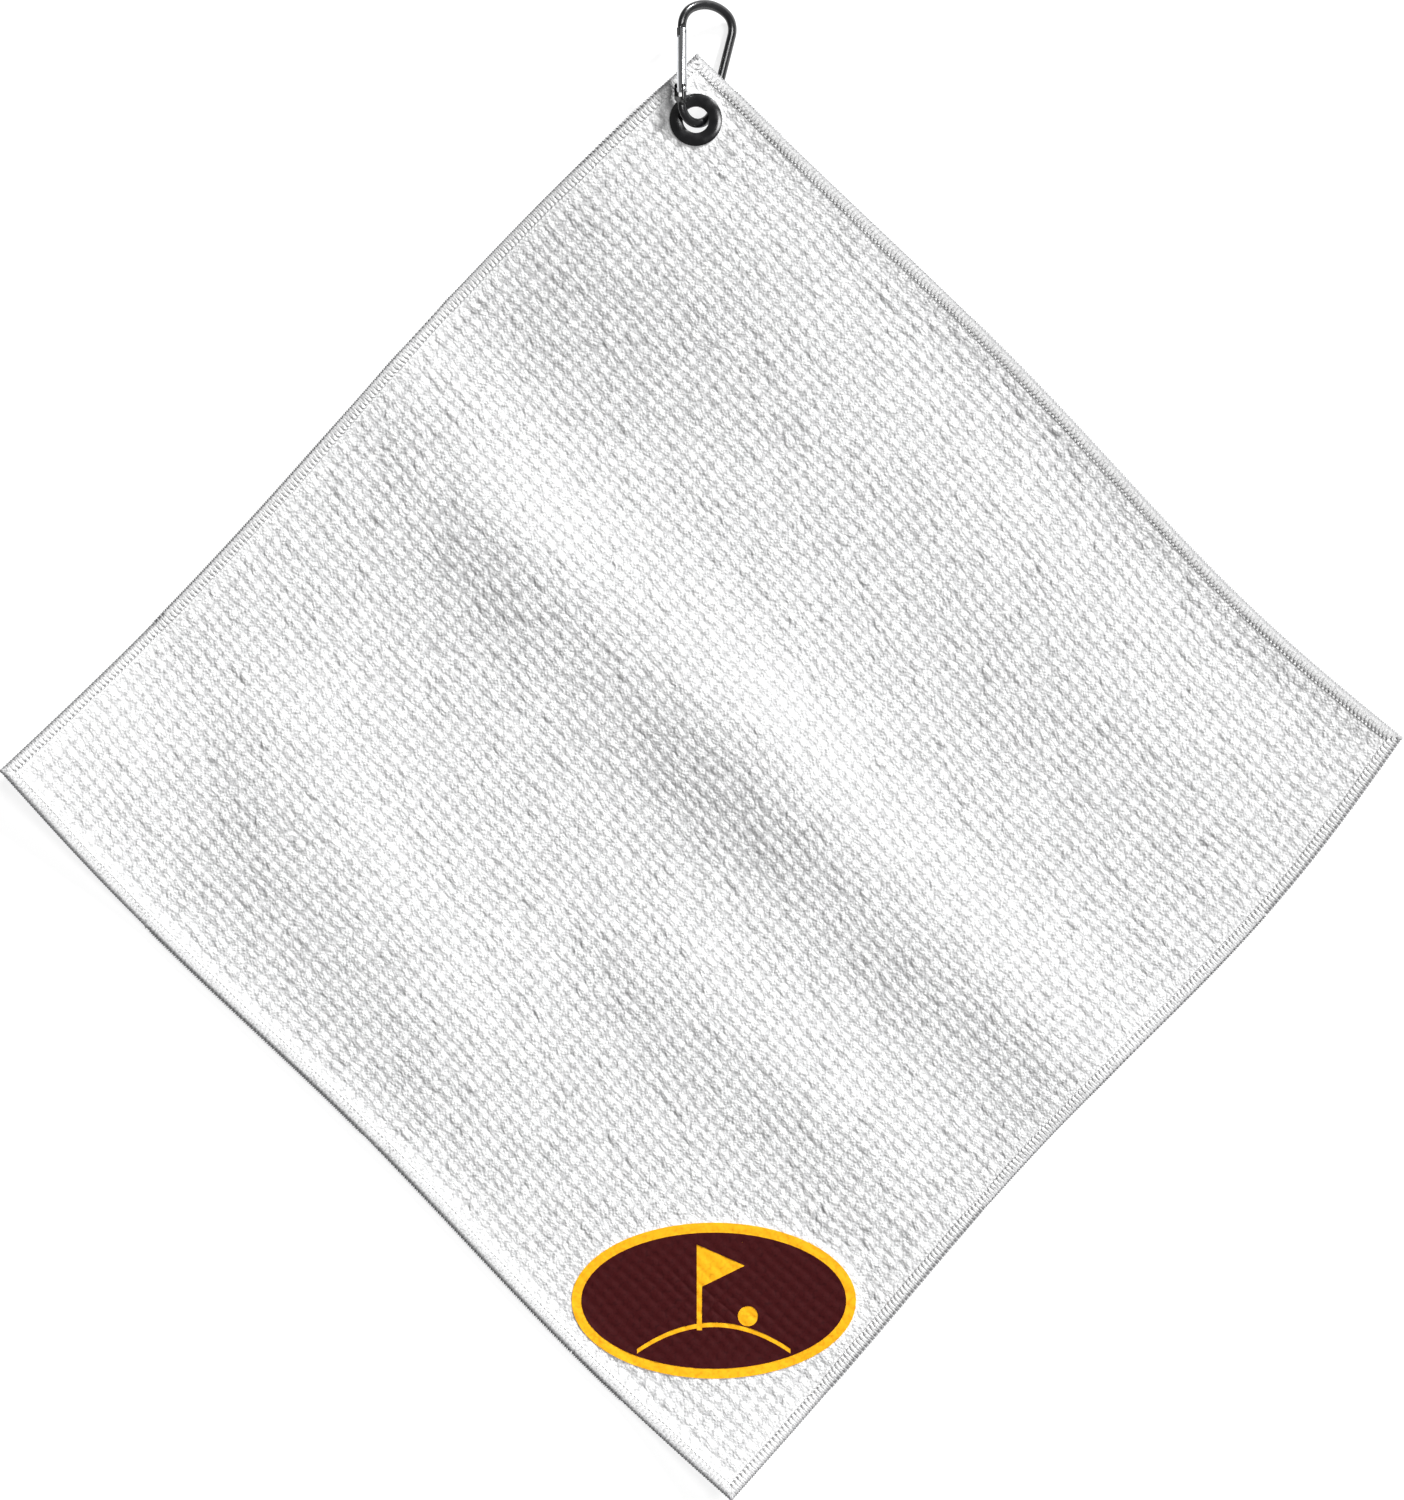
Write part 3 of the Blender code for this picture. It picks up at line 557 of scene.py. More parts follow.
# Painted shade on the threads: they are coloured darker over this width in from the raw edge.
EDGE_SHADED = 2.6 * MM
NEEDLE_INSET = 4.75 * MM
NEEDLE_RADIUS = 0.22 * MM
NEEDLE_POINTS = 6
NEEDLE_DIP = 0.3 * MM
# The needle thread's share of white against its painted-shade grey, all along it.
NEEDLE_UNSHADED_SHARE = 0.6
THREAD_SIDES = 6
UPRIGHT = np.array([0.0, 0.0, 1.0])
# White thread, and the grey painted on it as shade.
THREAD_WHITE = (0.76, 0.76, 0.76)
THREAD_SHADED = (0.36, 0.36, 0.365)
THREAD_TWIST = 0.6 * MM


def thread_finish():
    """White textured polyester thread: a fine twist along it, with loose fibres, and painted shade between
    its twists and towards the raw edge.
    """
    made, nodes, links, shader = new_material("white_overlock_thread")
    set_inputs(shader, {"Roughness": 0.8, "Specular IOR Level": 0.3, "Sheen Weight": 0.3})
    pile = add_group(nodes, links, FIBRE_PILE, {
        "Loops per metre": 1.0 / THREAD_TWIST, "Fibres per metre": 3.0 / THREAD_TWIST, "Loop share": 0.5})
    unshaded_share = nodes.new("ShaderNodeAttribute")
    unshaded_share.attribute_name = "unshaded_share"
    # Painted shade: darker between the twists and where the thread's share of white is low.
    amount = add_product(nodes, links, pile.outputs["Shade"], unshaded_share.outputs["Fac"])
    add_tone(nodes, links, shader, amount, ((0.05, THREAD_SHADED), (0.5, THREAD_WHITE)))
    add_bump(nodes, links, shader, pile.outputs["Height"], 0.6, 0.15 * MM)
    return made


def on_hem(place, along, inset, height):
    """Points on one edge: a share of the way along it, in from it, and above the cloth's middle."""
    s, t = place(along, inset / TOWEL_SIDE)
    plan = lay(s, t)
    z = middle_height(plan, s, t) + height
    return np.concatenate([plan, z[..., None]], axis=-1)


def thread_tube(name, path, unshaded_share, side, half_wide, half_high, finish):
    """An oval thread carried along a path, its width kept as near to the side direction as it can.

    The share given for each point is 0 where the thread is tucked in at the raw edge and fully coloured with
    painted shade, and 1 where it lies open on top and stays white.
    """
    run = np.gradient(path, axis=0)
    run /= np.linalg.norm(run, axis=1)[:, None]
    wide = side - run * np.sum(side * run, axis=1)[:, None]
    wide /= np.linalg.norm(wide, axis=1)[:, None]
    high = np.cross(run, wide)
    turn = 2.0 * math.pi * np.arange(THREAD_SIDES)[None, :, None] / THREAD_SIDES
    points = path[:, None, :] + half_wide * np.cos(turn) * wide[:, None, :]
    points = points + half_high * np.sin(turn) * high[:, None, :]
    piece = new_piece(name, points, ring_faces(len(path), THREAD_SIDES), finish)
    # Painted shade: how much the thread is coloured grey, point by point.
    unshaded_values = piece.data.attributes.new("unshaded_share", "FLOAT", "POINT")
    unshaded_values.data.foreach_set("value", np.repeat(unshaded_share, THREAD_SIDES))
    face_outwards(piece)
    return piece


def looper_path(place, over):
    """A looper's way along an edge: out to the raw edge and in to the needle line at each stitch.

    Over is 1 for the face and -1 for the back. Its height is a quarter round at the raw edge, level
    beyond it, and pulled down into the cloth where the needle thread holds it.
    """
    count = int(TOWEL_SIDE / STITCH)
    phase = np.arange(count * LOOPER_POINTS + 1) / LOOPER_POINTS + (0.0 if over > 0 else 0.5)
    swing = 0.5 - 0.5 * np.cos(2.0 * math.pi * phase)
    inset = -LINK_OUT + (LOOPER_REACH + LINK_OUT) * swing ** 0.85
    slant = 0.12 * np.sin(2.0 * math.pi * phase)
    along = np.clip((np.arange(len(phase)) / LOOPER_POINTS + slant) / count, 0.0, 1.0)
    near_end = np.minimum(along, 1.0 - along) * TOWEL_SIDE
    inset = np.minimum(inset, np.maximum(near_end, 0.1 * MM))
    bend = np.clip((inset + LINK_OUT) / LOOPER_ROUND, 0.0, 1.0)
    held_down = ease((inset - LOOPER_REACH + LOOPER_SINK) / LOOPER_SINK)
    level = LOOPER_LEVEL - NEEDLE_PULL * held_down
    height = over * level * np.sqrt(1.0 - (1.0 - bend) ** 2)
    # Painted shade: the looper is coloured darker towards the raw edge.
    unshaded_share = ease((inset + LINK_OUT) / EDGE_SHADED)
    return on_hem(place, along, inset, height), unshaded_share


def needle_path(place):
    """The needle thread's way: level with the face, dipping into the cloth at each stitch."""
    count = int((TOWEL_SIDE - 2 * NEEDLE_INSET) / STITCH)
    phase = np.arange(count * NEEDLE_POINTS + 1) / NEEDLE_POINTS
    start = NEEDLE_INSET / TOWEL_SIDE
    along = start + (1.0 - 2.0 * start) * phase / count
    dip = np.abs(np.cos(math.pi * phase)) ** 3
    height = LOOPER_LEVEL - NEEDLE_PULL - NEEDLE_DIP * dip
    return on_hem(place, along, np.full(len(along), NEEDLE_INSET), height)


EDGES = {
    "upper_left": (lambda along, across: (along, across), CORNER_UP, CORNER_LEFT),
    "upper_right": (lambda along, across: (across, along), CORNER_UP, CORNER_RIGHT),
    "lower_left": (lambda along, across: (1.0 - across, along), CORNER_LEFT, CORNER_DOWN),
    "lower_right": (lambda along, across: (along, 1.0 - across), CORNER_RIGHT, CORNER_DOWN),
}
thread_white = thread_finish()
for edge_name, (place, from_corner, to_corner) in EDGES.items():
    side = np.array([*(to_corner - from_corner), 0.0])
    side /= np.linalg.norm(side)
    for layer, over in (("upper_looper", 1.0), ("lower_looper", -1.0)):
        path, unshaded_share = looper_path(place, over)
        looper = thread_tube(f"{layer}_thread_{edge_name}", path, unshaded_share, side, LOOPER_HALF_WIDE,
                             LOOPER_HALF_HIGH, thread_white)
        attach(looper, "towel")
        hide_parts(f"{layer}_{edge_name}")
    path = needle_path(place)
    # Painted shade: the needle thread is coloured part way to grey all along.
    needle = thread_tube(f"needle_stitches_{edge_name}", path, np.full(len(path), NEEDLE_UNSHADED_SHARE), UPRIGHT,
                         NEEDLE_RADIUS, NEEDLE_RADIUS, thread_white)
    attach(needle, "towel")
    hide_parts(f"needle_thread_{edge_name}")


# ---- the eyelet
# A black enamelled steel grommet with a domed flange on the face. Its barrel goes through the
# cloth and is rolled out under a plain washer on the back, which grips the cloth between them.

SEAT = CLOTH_PINCHED / 2 + 0.3 * MM
FLANGE_CROWN = 0.75 * MM
WASHER_THICK = 0.35 * MM
ROLL_WIDTH = 1.9 * MM
ROLL_THICK = 0.3 * MM
EYELET_STEPS = 96
HARD_IOR = 1.8
WORN_ROUGHNESS = 0.3
ENAMEL_BLACK = (0.004, 0.004, 0.005)
ENAMEL_WORN = (0.007, 0.007, 0.008)
LIP_ABOVE_SEAT = 0.15


def scuff_group():
    """Handling marks on a hard finish: broad smudges and fine scratches, as a mask and a height."""
    amounts = ("Smudges per metre", "Grain per metre")
    group, nodes, links, given, result = new_group("handling_marks", amounts, ("Mask", "Height"))
    smudge = nodes.new("ShaderNodeTexNoise")
    smudge.inputs["Detail"].default_value = 4.0
    grain = nodes.new("ShaderNodeTexNoise")
    grain.inputs["Detail"].default_value = 2.0
    sharpen = nodes.new("ShaderNodeMapRange")
    set_inputs(sharpen, {"From Min": 0.4, "From Max": 0.7})
    links.new(given.outputs["Vector"], smudge.inputs["Vector"])
    links.new(given.outputs["Vector"], grain.inputs["Vector"])
    links.new(given.outputs["Smudges per metre"], smudge.inputs["Scale"])
    links.new(given.outputs["Grain per metre"], grain.inputs["Scale"])
    links.new(smudge.outputs["Fac"], sharpen.inputs["Value"])
    links.new(sharpen.outputs["Result"], result.inputs["Mask"])
    links.new(grain.outputs["Fac"], result.inputs["Height"])
    return group


HANDLING_MARKS = scuff_group()


def hard_finish(name, colour, worn_colour, metallic, smooth, grain_per_metre, grain_depth):
    """A hard glossy finish whose smudges are a little rougher and paler, over a fine grain."""
    made, nodes, links, shader = new_material(name)
    set_inputs(shader, {"Metallic": metallic, "IOR": HARD_IOR})
    marks = add_group(nodes, links, HANDLING_MARKS, {
        "Smudges per metre": 260.0, "Grain per metre": grain_per_metre})
    tone = nodes.new("ShaderNodeMix")
    tone.data_type = "RGBA"
    tone.inputs[6].default_value = (*colour, 1.0)
    tone.inputs[7].default_value = (*worn_colour, 1.0)
    gloss = nodes.new("ShaderNodeMapRange")
    set_inputs(gloss, {"To Min": smooth, "To Max": WORN_ROUGHNESS})
    links.new(marks.outputs["Mask"], tone.inputs[0])
    links.new(marks.outputs["Mask"], gloss.inputs["Value"])
    links.new(tone.outputs[2], shader.inputs["Base Color"])
    links.new(gloss.outputs["Result"], shader.inputs["Roughness"])
    add_bump(nodes, links, shader, marks.outputs["Height"], 0.4, grain_depth)
    return made


def flange_profile():
    """The grommet's section: barrel, domed flange with a rounded lip, flat seat and rolled end."""
    turn = math.pi * np.arange(17) / 16
    span = FLANGE_RADIUS - HOLE_RADIUS
    dome_radius = HOLE_RADIUS + span * (0.5 - 0.47 * np.cos(turn))
    dome_height = SEAT + FLANGE_CROWN * (0.2 + 0.8 * np.sin(turn) ** 2)
    low = -SEAT - WASHER_THICK - ROLL_THICK
    profile = [(HOLE_RADIUS, low), (HOLE_RADIUS, SEAT + LIP_ABOVE_SEAT * FLANGE_CROWN)]
    profile += list(zip(dome_radius, dome_height))
    profile += [(FLANGE_RADIUS, SEAT + 0.2 * FLANGE_CROWN), (FLANGE_RADIUS, SEAT + 0.12 * FLANGE_CROWN)]
    profile += [(FLANGE_RADIUS - 0.12 * MM, SEAT), (HOLE_RADIUS + BARREL_WALL, SEAT)]
    profile += [(HOLE_RADIUS + BARREL_WALL, low), (HOLE_RADIUS + ROLL_WIDTH, low)]
    roll = -math.pi * np.arange(1, 8) / 8
    middle = HOLE_RADIUS + ROLL_WIDTH / 2
    roll_radius = middle + ROLL_WIDTH / 2 * np.cos(roll)
    profile += list(zip(roll_radius, low + ROLL_THICK * np.sin(roll)))
    return profile


EYELET_CENTRE = (*EYELET, EYELET_HEIGHT)
enamel = hard_finish("black_eyelet_enamel", ENAMEL_BLACK, ENAMEL_WORN, 0.0, 0.2, 2600.0, 0.004 * MM)
flange = flange_profile()
grommet = new_piece("eyelet_grommet", turned_points(flange, EYELET_CENTRE, EYELET_STEPS),
                    ring_faces(EYELET_STEPS, len(flange), closed=True), enamel)
face_outwards(grommet, 40.0)
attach(grommet, "towel")
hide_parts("grommet")

WASHER_INNER = HOLE_RADIUS + BARREL_WALL + BARREL_ROOM
WASHER_OUTER = FLANGE_RADIUS - 0.3 * MM
washer_rim = WASHER_OUTER - 0.1 * MM
washer_section = [(WASHER_INNER, -SEAT), (washer_rim, -SEAT), (WASHER_OUTER, -SEAT - 0.3 * WASHER_THICK),
                  (washer_rim, -SEAT - 0.75 * WASHER_THICK), (WASHER_OUTER - 0.5 * MM, -SEAT - WASHER_THICK),
                  (WASHER_INNER, -SEAT - WASHER_THICK)]
washer = new_piece("eyelet_washer", turned_points(washer_section, EYELET_CENTRE, EYELET_STEPS),
                   ring_faces(EYELET_STEPS, len(washer_section), closed=True), enamel)
face_outwards(washer, 40.0)
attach(washer, "towel")
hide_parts("grommet_washer")


# ---- the carabiner's body
# One drawn aluminium bar, anodised black, bent into a pear with a narrow bow that passes through
# the eyelet. One end is a thin hook with a notch for the gate's latch pin, and the other a fork
# whose two cheeks hold the gate's hinge pin.

BAR_WIDE = 1.95 * MM
BAR_THICK = 1.4 * MM
BOW_BOTTOM = -1.3 * MM
CROWN_TOP = 46.6 * MM
CROWN_RADIUS = 18.0 * MM
CORNER_RADIUS = 8.0 * MM
HALF_WIDTH = 12.9 * MM
SIDE_LEAN = math.radians(8.9)
CARABINER_TILT = math.radians(38.0)
CARABINER_LEAN = math.radians(7.0)
GATE_RADIUS = 2.1 * MM
HINGE_ALONG = 11.3 * MM
HINGE_OUTSIDE = 0.9 * MM
GATE_BELOW_PIN = 1.4 * MM
GATE_ABOVE_LATCH = 1.6 * MM
END_CLEARANCE = 0.4 * MM
YOKE_BELOW_PIN = 3.1 * MM
YOKE_THICK = 1.5 * MM
YOKE_WALL = 0.6 * MM
YOKE_HALF = 1.3 * MM
YOKE_ABOVE_PIN = 2.4 * MM
SLIDE_GAP = 0.3 * MM
TONGUE_HALF = 0.65 * MM
HOOK_REACH = 1.5 * MM
PIN_RADIUS = 0.6 * MM
LATCH_PIN_RADIUS = 0.55 * MM
PIN_CLEARANCE = 0.12 * MM
BAR_SIDES = 28

turn_tilt = np.array([[math.cos(CARABINER_TILT), 0.0, math.sin(CARABINER_TILT)], [0.0, 1.0, 0.0],
                      [-math.sin(CARABINER_TILT), 0.0, math.cos(CARABINER_TILT)]])
turn_lean = np.array([[math.cos(CARABINER_LEAN), math.sin(CARABINER_LEAN), 0.0],
                      [-math.sin(CARABINER_LEAN), math.cos(CARABINER_LEAN), 0.0], [0.0, 0.0, 1.0]])
CARABINER_TURN = turn_lean @ turn_tilt


def carabiner_place(points):
    """Points in the carabiner's own plane (across, along, out of it), placed in the model."""
    return np.asarray(points) @ CARABINER_TURN.T + np.array(EYELET_CENTRE)


def gate_place(points):
    """Points about the hinge pin (inwards, along the gate, along the pin), placed in the model."""
    points = np.asarray(points)
    c = math.cos(SIDE_LEAN)
    s = math.sin(SIDE_LEAN)
    across = HINGE[0] + c * points[..., 0] - s * points[..., 1]
    along = HINGE[1] + s * points[..., 0] + c * points[..., 1]
    return carabiner_place(np.stack([across, along, points[..., 2]], axis=-1))


CROWN_SWING = math.asin((HALF_WIDTH - CORNER_RADIUS) / (CROWN_RADIUS - CORNER_RADIUS))
CORNER_MIDDLE = (CROWN_RADIUS - CORNER_RADIUS) * np.array([math.sin(CROWN_SWING), math.cos(CROWN_SWING)])
CORNER_MIDDLE = CORNER_MIDDLE + np.array([0.0, CROWN_TOP - CROWN_RADIUS])
SIDE_OUT = np.array([-math.cos(SIDE_LEAN), -math.sin(SIDE_LEAN)])
SIDE_TOP = CORNER_MIDDLE * np.array([-1.0, 1.0]) + CORNER_RADIUS * SIDE_OUT
SIDE_OFFSET = float(SIDE_OUT @ SIDE_TOP)
BOW_RADIUS = (SIDE_OFFSET + math.sin(SIDE_LEAN) * BOW_BOTTOM) / (1.0 - math.sin(SIDE_LEAN))
GATE_UP = np.array([-math.sin(SIDE_LEAN), math.cos(SIDE_LEAN)])
GATE_FOOT = SIDE_TOP - GATE_UP * (SIDE_TOP[1] - HINGE_ALONG) / math.cos(SIDE_LEAN)
HINGE = GATE_FOOT + SIDE_OUT * HINGE_OUTSIDE
GATE_TOP = float(np.linalg.norm(SIDE_TOP - GATE_FOOT)) - END_CLEARANCE
LATCH_ALONG = GATE_TOP - GATE_ABOVE_LATCH


def arc(centre, radius, start, stop, steps):
    """Points on an arc, with its angles in radians from the across axis."""
    turn = np.linspace(start, stop, steps)[:, None]
    return np.asarray(centre) + radius * np.concatenate([np.cos(turn), np.sin(turn)], axis=1)


def bar_points():
    """The bar: an oval carried along hook, corner, crown, corner, spine, bow and fork.

    The oval is clipped flat at the hook, and at the fork it turns into an upright oval as wide as
    the gate and its two cheeks, and moves out to the hinge pin's line.
    """
    lean = SIDE_LEAN
    upright = math.pi / 2
    left = CORNER_MIDDLE * np.array([-1.0, 1.0])
    hook = GATE_FOOT + GATE_UP * (LATCH_ALONG - HOOK_REACH)
    hook_run = hook + (SIDE_TOP - hook) * np.linspace(0.0, 0.96, 12)[:, None]
    swing = CROWN_SWING
    crown_middle = (0.0, CROWN_TOP - CROWN_RADIUS)
    bow_middle = (0.0, BOW_BOTTOM + BOW_RADIUS)
    spine_top = CORNER_MIDDLE + CORNER_RADIUS * np.array([math.cos(-lean), math.sin(-lean)])
    spine_foot = np.asarray(bow_middle) + BOW_RADIUS * np.array([math.cos(-lean), math.sin(-lean)])
    spine = spine_top + (spine_foot - spine_top) * np.linspace(0.02, 0.98, 30)[:, None]
    bow = arc(bow_middle, BOW_RADIUS, -lean, lean - math.pi, 60)
    fork_end = GATE_FOOT + GATE_UP * (YOKE_ABOVE_PIN - 0.5 * YOKE_WALL)
    fork = bow[-1] + (fork_end - bow[-1]) * np.linspace(0.03, 1.0, 40)[:, None]
    path = np.concatenate([hook_run, arc(left, CORNER_RADIUS, math.pi + lean, upright + swing, 26),
                           arc(crown_middle, CROWN_RADIUS, upright + swing, upright - swing, 26)[1:-1],
                           arc(CORNER_MIDDLE, CORNER_RADIUS, upright - swing, -lean, 26), spine, bow, fork])
    run = np.gradient(path, axis=0)
    run /= np.linalg.norm(run, axis=1)[:, None]
    out = np.stack([run[:, 1], -run[:, 0]], axis=1)
    on_left = path[:, 0] < 0.0
    up_gate = (path - GATE_FOOT) @ GATE_UP
    forkness = ease((up_gate + YOKE_BELOW_PIN + YOKE_THICK + 1.6 * MM) / (2.4 * MM))
    forkness = forkness * (np.arange(len(path)) > len(path) // 2) * on_left
    path = path + SIDE_OUT * (HINGE_OUTSIDE * forkness)[:, None]
    wide = BAR_WIDE + (YOKE_HALF - BAR_WIDE) * forkness
    thick = BAR_THICK + (GATE_RADIUS + SLIDE_GAP + YOKE_WALL - BAR_THICK) * forkness
    end = np.clip((up_gate - (YOKE_ABOVE_PIN - YOKE_HALF)) / YOKE_HALF, 0.0, 0.97) * (forkness > 0.9)
    wide = wide * np.sqrt(1.0 - end ** 2)
    hook_flat = 1.0 - ease((np.arange(len(path)) - 10.0) / 6.0)
    turn = 2.0 * math.pi * (np.arange(BAR_SIDES) + 0.5)[None, :] / BAR_SIDES
    power = 1.0 - 0.45 * forkness[:, None]
    across = wide[:, None] * np.sign(np.cos(turn)) * np.abs(np.cos(turn)) ** power
    through = thick[:, None] * np.sign(np.sin(turn)) * np.abs(np.sin(turn)) ** power
    tongue = TONGUE_HALF + (BAR_THICK - TONGUE_HALF) * (1.0 - hook_flat[:, None])
    through = np.where(hook_flat[:, None] > 0.0, np.clip(through, -tongue, tongue), through)
    place = path[:, None, :] + out[:, None, :] * across[..., None]
    return np.concatenate([place, through[..., None]], axis=-1)


def block(name, low, high):
    """A plain cutter box in the gate's frame."""
    x, y, z = zip(low, high)
    corners = [(a, b, c) for c in z for a, b in ((x[0], y[0]), (x[1], y[0]), (x[1], y[1]), (x[0], y[1]))]
    piece = new_piece(name, gate_place(corners), ring_faces(2, 4), None)
    face_outwards(piece)
    return piece


def rod(name, middle, along, profile, steps, finish=None):
    """A round piece in the gate's frame: (distance along, radius) pairs turned about its axis.

    Along is 1 for the gate's length and 2 for the pins. The turned shape is closed at both ends.
    """
    turn = 2.0 * math.pi * np.arange(steps)[None, :] / steps
    profile = np.asarray(profile)
    first = middle[0] + profile[:, 1:] * np.cos(turn)
    second = middle[1] + profile[:, 1:] * np.sin(turn)
    level = np.broadcast_to(profile[:, :1], first.shape)
    order = [first, level, second] if along == 1 else [first, second, level]
    piece = new_piece(name, gate_place(np.stack(order, axis=-1)), ring_faces(len(profile), steps), finish)
    face_outwards(piece, 35.0)
    return piece


FAR = 6.0 * MM
BAR_BLACK = (0.003, 0.003, 0.004)
BAR_WORN = (0.006, 0.006, 0.007)
anodised = hard_finish("black_anodised_bar", BAR_BLACK, BAR_WORN, 0.0, 0.22, 3200.0, 0.003 * MM)
bar = bar_points()
body = new_piece("carabiner_bar", carabiner_place(bar), ring_faces(len(bar), BAR_SIDES), anodised)
face_outwards(body)
pin_hole = PIN_RADIUS + PIN_CLEARANCE
notch = LATCH_PIN_RADIUS + SLIDE_GAP
slot_half = GATE_RADIUS + SLIDE_GAP
cut_with(body, [
    block("fork_slot", (-FAR, -YOKE_BELOW_PIN, -slot_half), (1.95 * MM, 7 * MM, slot_half)),
    rod("hinge_hole", (0.0, 0.0), 2, ((-FAR, pin_hole), (FAR, pin_hole)), 32),
    rod("notch_root", (HINGE_OUTSIDE, LATCH_ALONG), 2, ((-FAR, notch), (FAR, notch)), 32),
    block("notch_mouth", (HINGE_OUTSIDE, LATCH_ALONG - notch, -FAR), (FAR, LATCH_ALONG + notch, FAR)),
])
shade(body, 35.0)
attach(body, "carabiner")
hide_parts("carabiner_body")


# ---- the gate, its pins, spring and plunger
# The gate is a bright plated tube, slotted at its top over the body's hook and bored from below
# for a small coil spring and plunger, which push it shut. It turns on a pin riveted through the
# fork, and a second pin across its top slot drops into the hook's notch.

BORE_ASIDE = 0.6 * MM
BORE_RADIUS = 0.9 * MM
BORE_DEPTH = 14.0 * MM
PLUNGER_RADIUS = 0.6 * MM
PLUNGER_LENGTH = 4.0 * MM
SLOT_SIDE_GAP = 0.3 * MM
SLOT_END_GAP = 0.7 * MM
PIN_HEAD = 0.25 * MM
PIN_END_INSET = 0.35 * MM
CHAMFER = 0.3 * MM
STEEL_BRIGHT = (0.78, 0.79, 0.81)
STEEL_WORN = (0.66, 0.67, 0.69)

plated = hard_finish("bright_plated_steel", STEEL_BRIGHT, STEEL_WORN, 1.0, 0.2, 3600.0, 0.002 * MM)
EDGE_STEP = 0.1 * MM
gate_profile = [(-GATE_BELOW_PIN, GATE_RADIUS - 2 * CHAMFER), (-GATE_BELOW_PIN, GATE_RADIUS - CHAMFER),
                (-GATE_BELOW_PIN + EDGE_STEP, GATE_RADIUS - EDGE_STEP),
                (-GATE_BELOW_PIN + CHAMFER, GATE_RADIUS), (GATE_TOP - CHAMFER, GATE_RADIUS),
                (GATE_TOP - EDGE_STEP, GATE_RADIUS - EDGE_STEP),
                (GATE_TOP, GATE_RADIUS - CHAMFER), (GATE_TOP, GATE_RADIUS - 2 * CHAMFER)]
gate = rod("gate_tube", (HINGE_OUTSIDE, 0.0), 1, gate_profile, 48, plated)
bore_middle = HINGE_OUTSIDE + BORE_ASIDE
slot = TONGUE_HALF + SLOT_SIDE_GAP
latch_slot = LATCH_ALONG - HOOK_REACH - SLOT_END_GAP
latch_hole = LATCH_PIN_RADIUS + PIN_CLEARANCE
cut_with(gate, [
    block("hook_slot", (-FAR, latch_slot, -slot), (FAR, GATE_TOP + FAR, slot)),
    rod("bore", (bore_middle, 0.0), 1, ((-FAR, BORE_RADIUS), (BORE_DEPTH, BORE_RADIUS)), 32),
    rod("pin_hole", (0.0, 0.0), 2, ((-FAR, pin_hole), (FAR, pin_hole)), 32),
    rod("latch_hole", (HINGE_OUTSIDE, LATCH_ALONG), 2, ((-FAR, latch_hole), (FAR, latch_hole)), 32),
])
shade(gate, 35.0)
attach(gate, "gate")
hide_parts("gate")

reach = GATE_RADIUS + SLIDE_GAP + YOKE_WALL
rivet = PIN_RADIUS * 1.45
half_rivet = [(reach + 0.03 * MM, PIN_RADIUS), (reach + 0.04 * MM, rivet),
              (reach + 0.7 * PIN_HEAD, 0.85 * rivet), (reach + PIN_HEAD, 0.5 * rivet)]
hinge_profile = [(-level, radius) for level, radius in reversed(half_rivet)] + half_rivet
hinge_pin = rod("hinge_rivet", (0.0, 0.0), 2, hinge_profile, 32, plated)
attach(hinge_pin, "carabiner")
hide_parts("hinge_pin")

half_pin = GATE_RADIUS - PIN_END_INSET
latch_profile = [(-half_pin, 0.7 * LATCH_PIN_RADIUS), (-half_pin + 0.1 * MM, LATCH_PIN_RADIUS),
                 (half_pin - 0.1 * MM, LATCH_PIN_RADIUS), (half_pin, 0.7 * LATCH_PIN_RADIUS)]
latch_pin = rod("latch_rivet", (HINGE_OUTSIDE, LATCH_ALONG), 2, latch_profile, 32, plated)
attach(latch_pin, "gate")
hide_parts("latch_pin")

tip = SLIDE_GAP - YOKE_BELOW_PIN
head = tip + PLUNGER_LENGTH
plunger_profile = [(tip, 0.4 * PLUNGER_RADIUS), (tip + 0.12 * MM, 0.8 * PLUNGER_RADIUS),
                   (tip + 0.3 * MM, PLUNGER_RADIUS), (head, PLUNGER_RADIUS)]
plunger = rod("spring_plunger", (bore_middle, 0.0), 1, plunger_profile, 24, plated)
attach(plunger, "plunger")
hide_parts("gate_plunger")
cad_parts["gate_spring"].data.materials.clear()
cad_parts["gate_spring"].data.materials.append(plated)


# ---- the badge
# A two-colour heat-transfer badge: a gold vinyl oval pressed onto the cloth, and a maroon one on
# it with a flag, a ball and a green cut out so that the gold shows. Both films follow the weave.

BADGE_BORDER = 4.0 * MM
FILM_LIFT = 0.14 * MM
FILM_THICK = 0.12 * MM
POLE_WIDE = 2.2 * MM
GREEN_LINE = 1.9 * MM
FILM_RINGS = 44
FILM_STEPS = 180
PIT_SIZE = 1.3 * MM
GRAIN_SIZE = 0.6 * MM
# Each film's printed colour, and a darker copy of it painted into its tiny pits as shade.
GOLD = (1.0, 0.47, 0.012)
GOLD_PIT_SHADE = (0.82, 0.34, 0.008)
MAROON = (0.050, 0.005, 0.006)
MAROON_PIT_SHADE = (0.035, 0.003, 0.004)


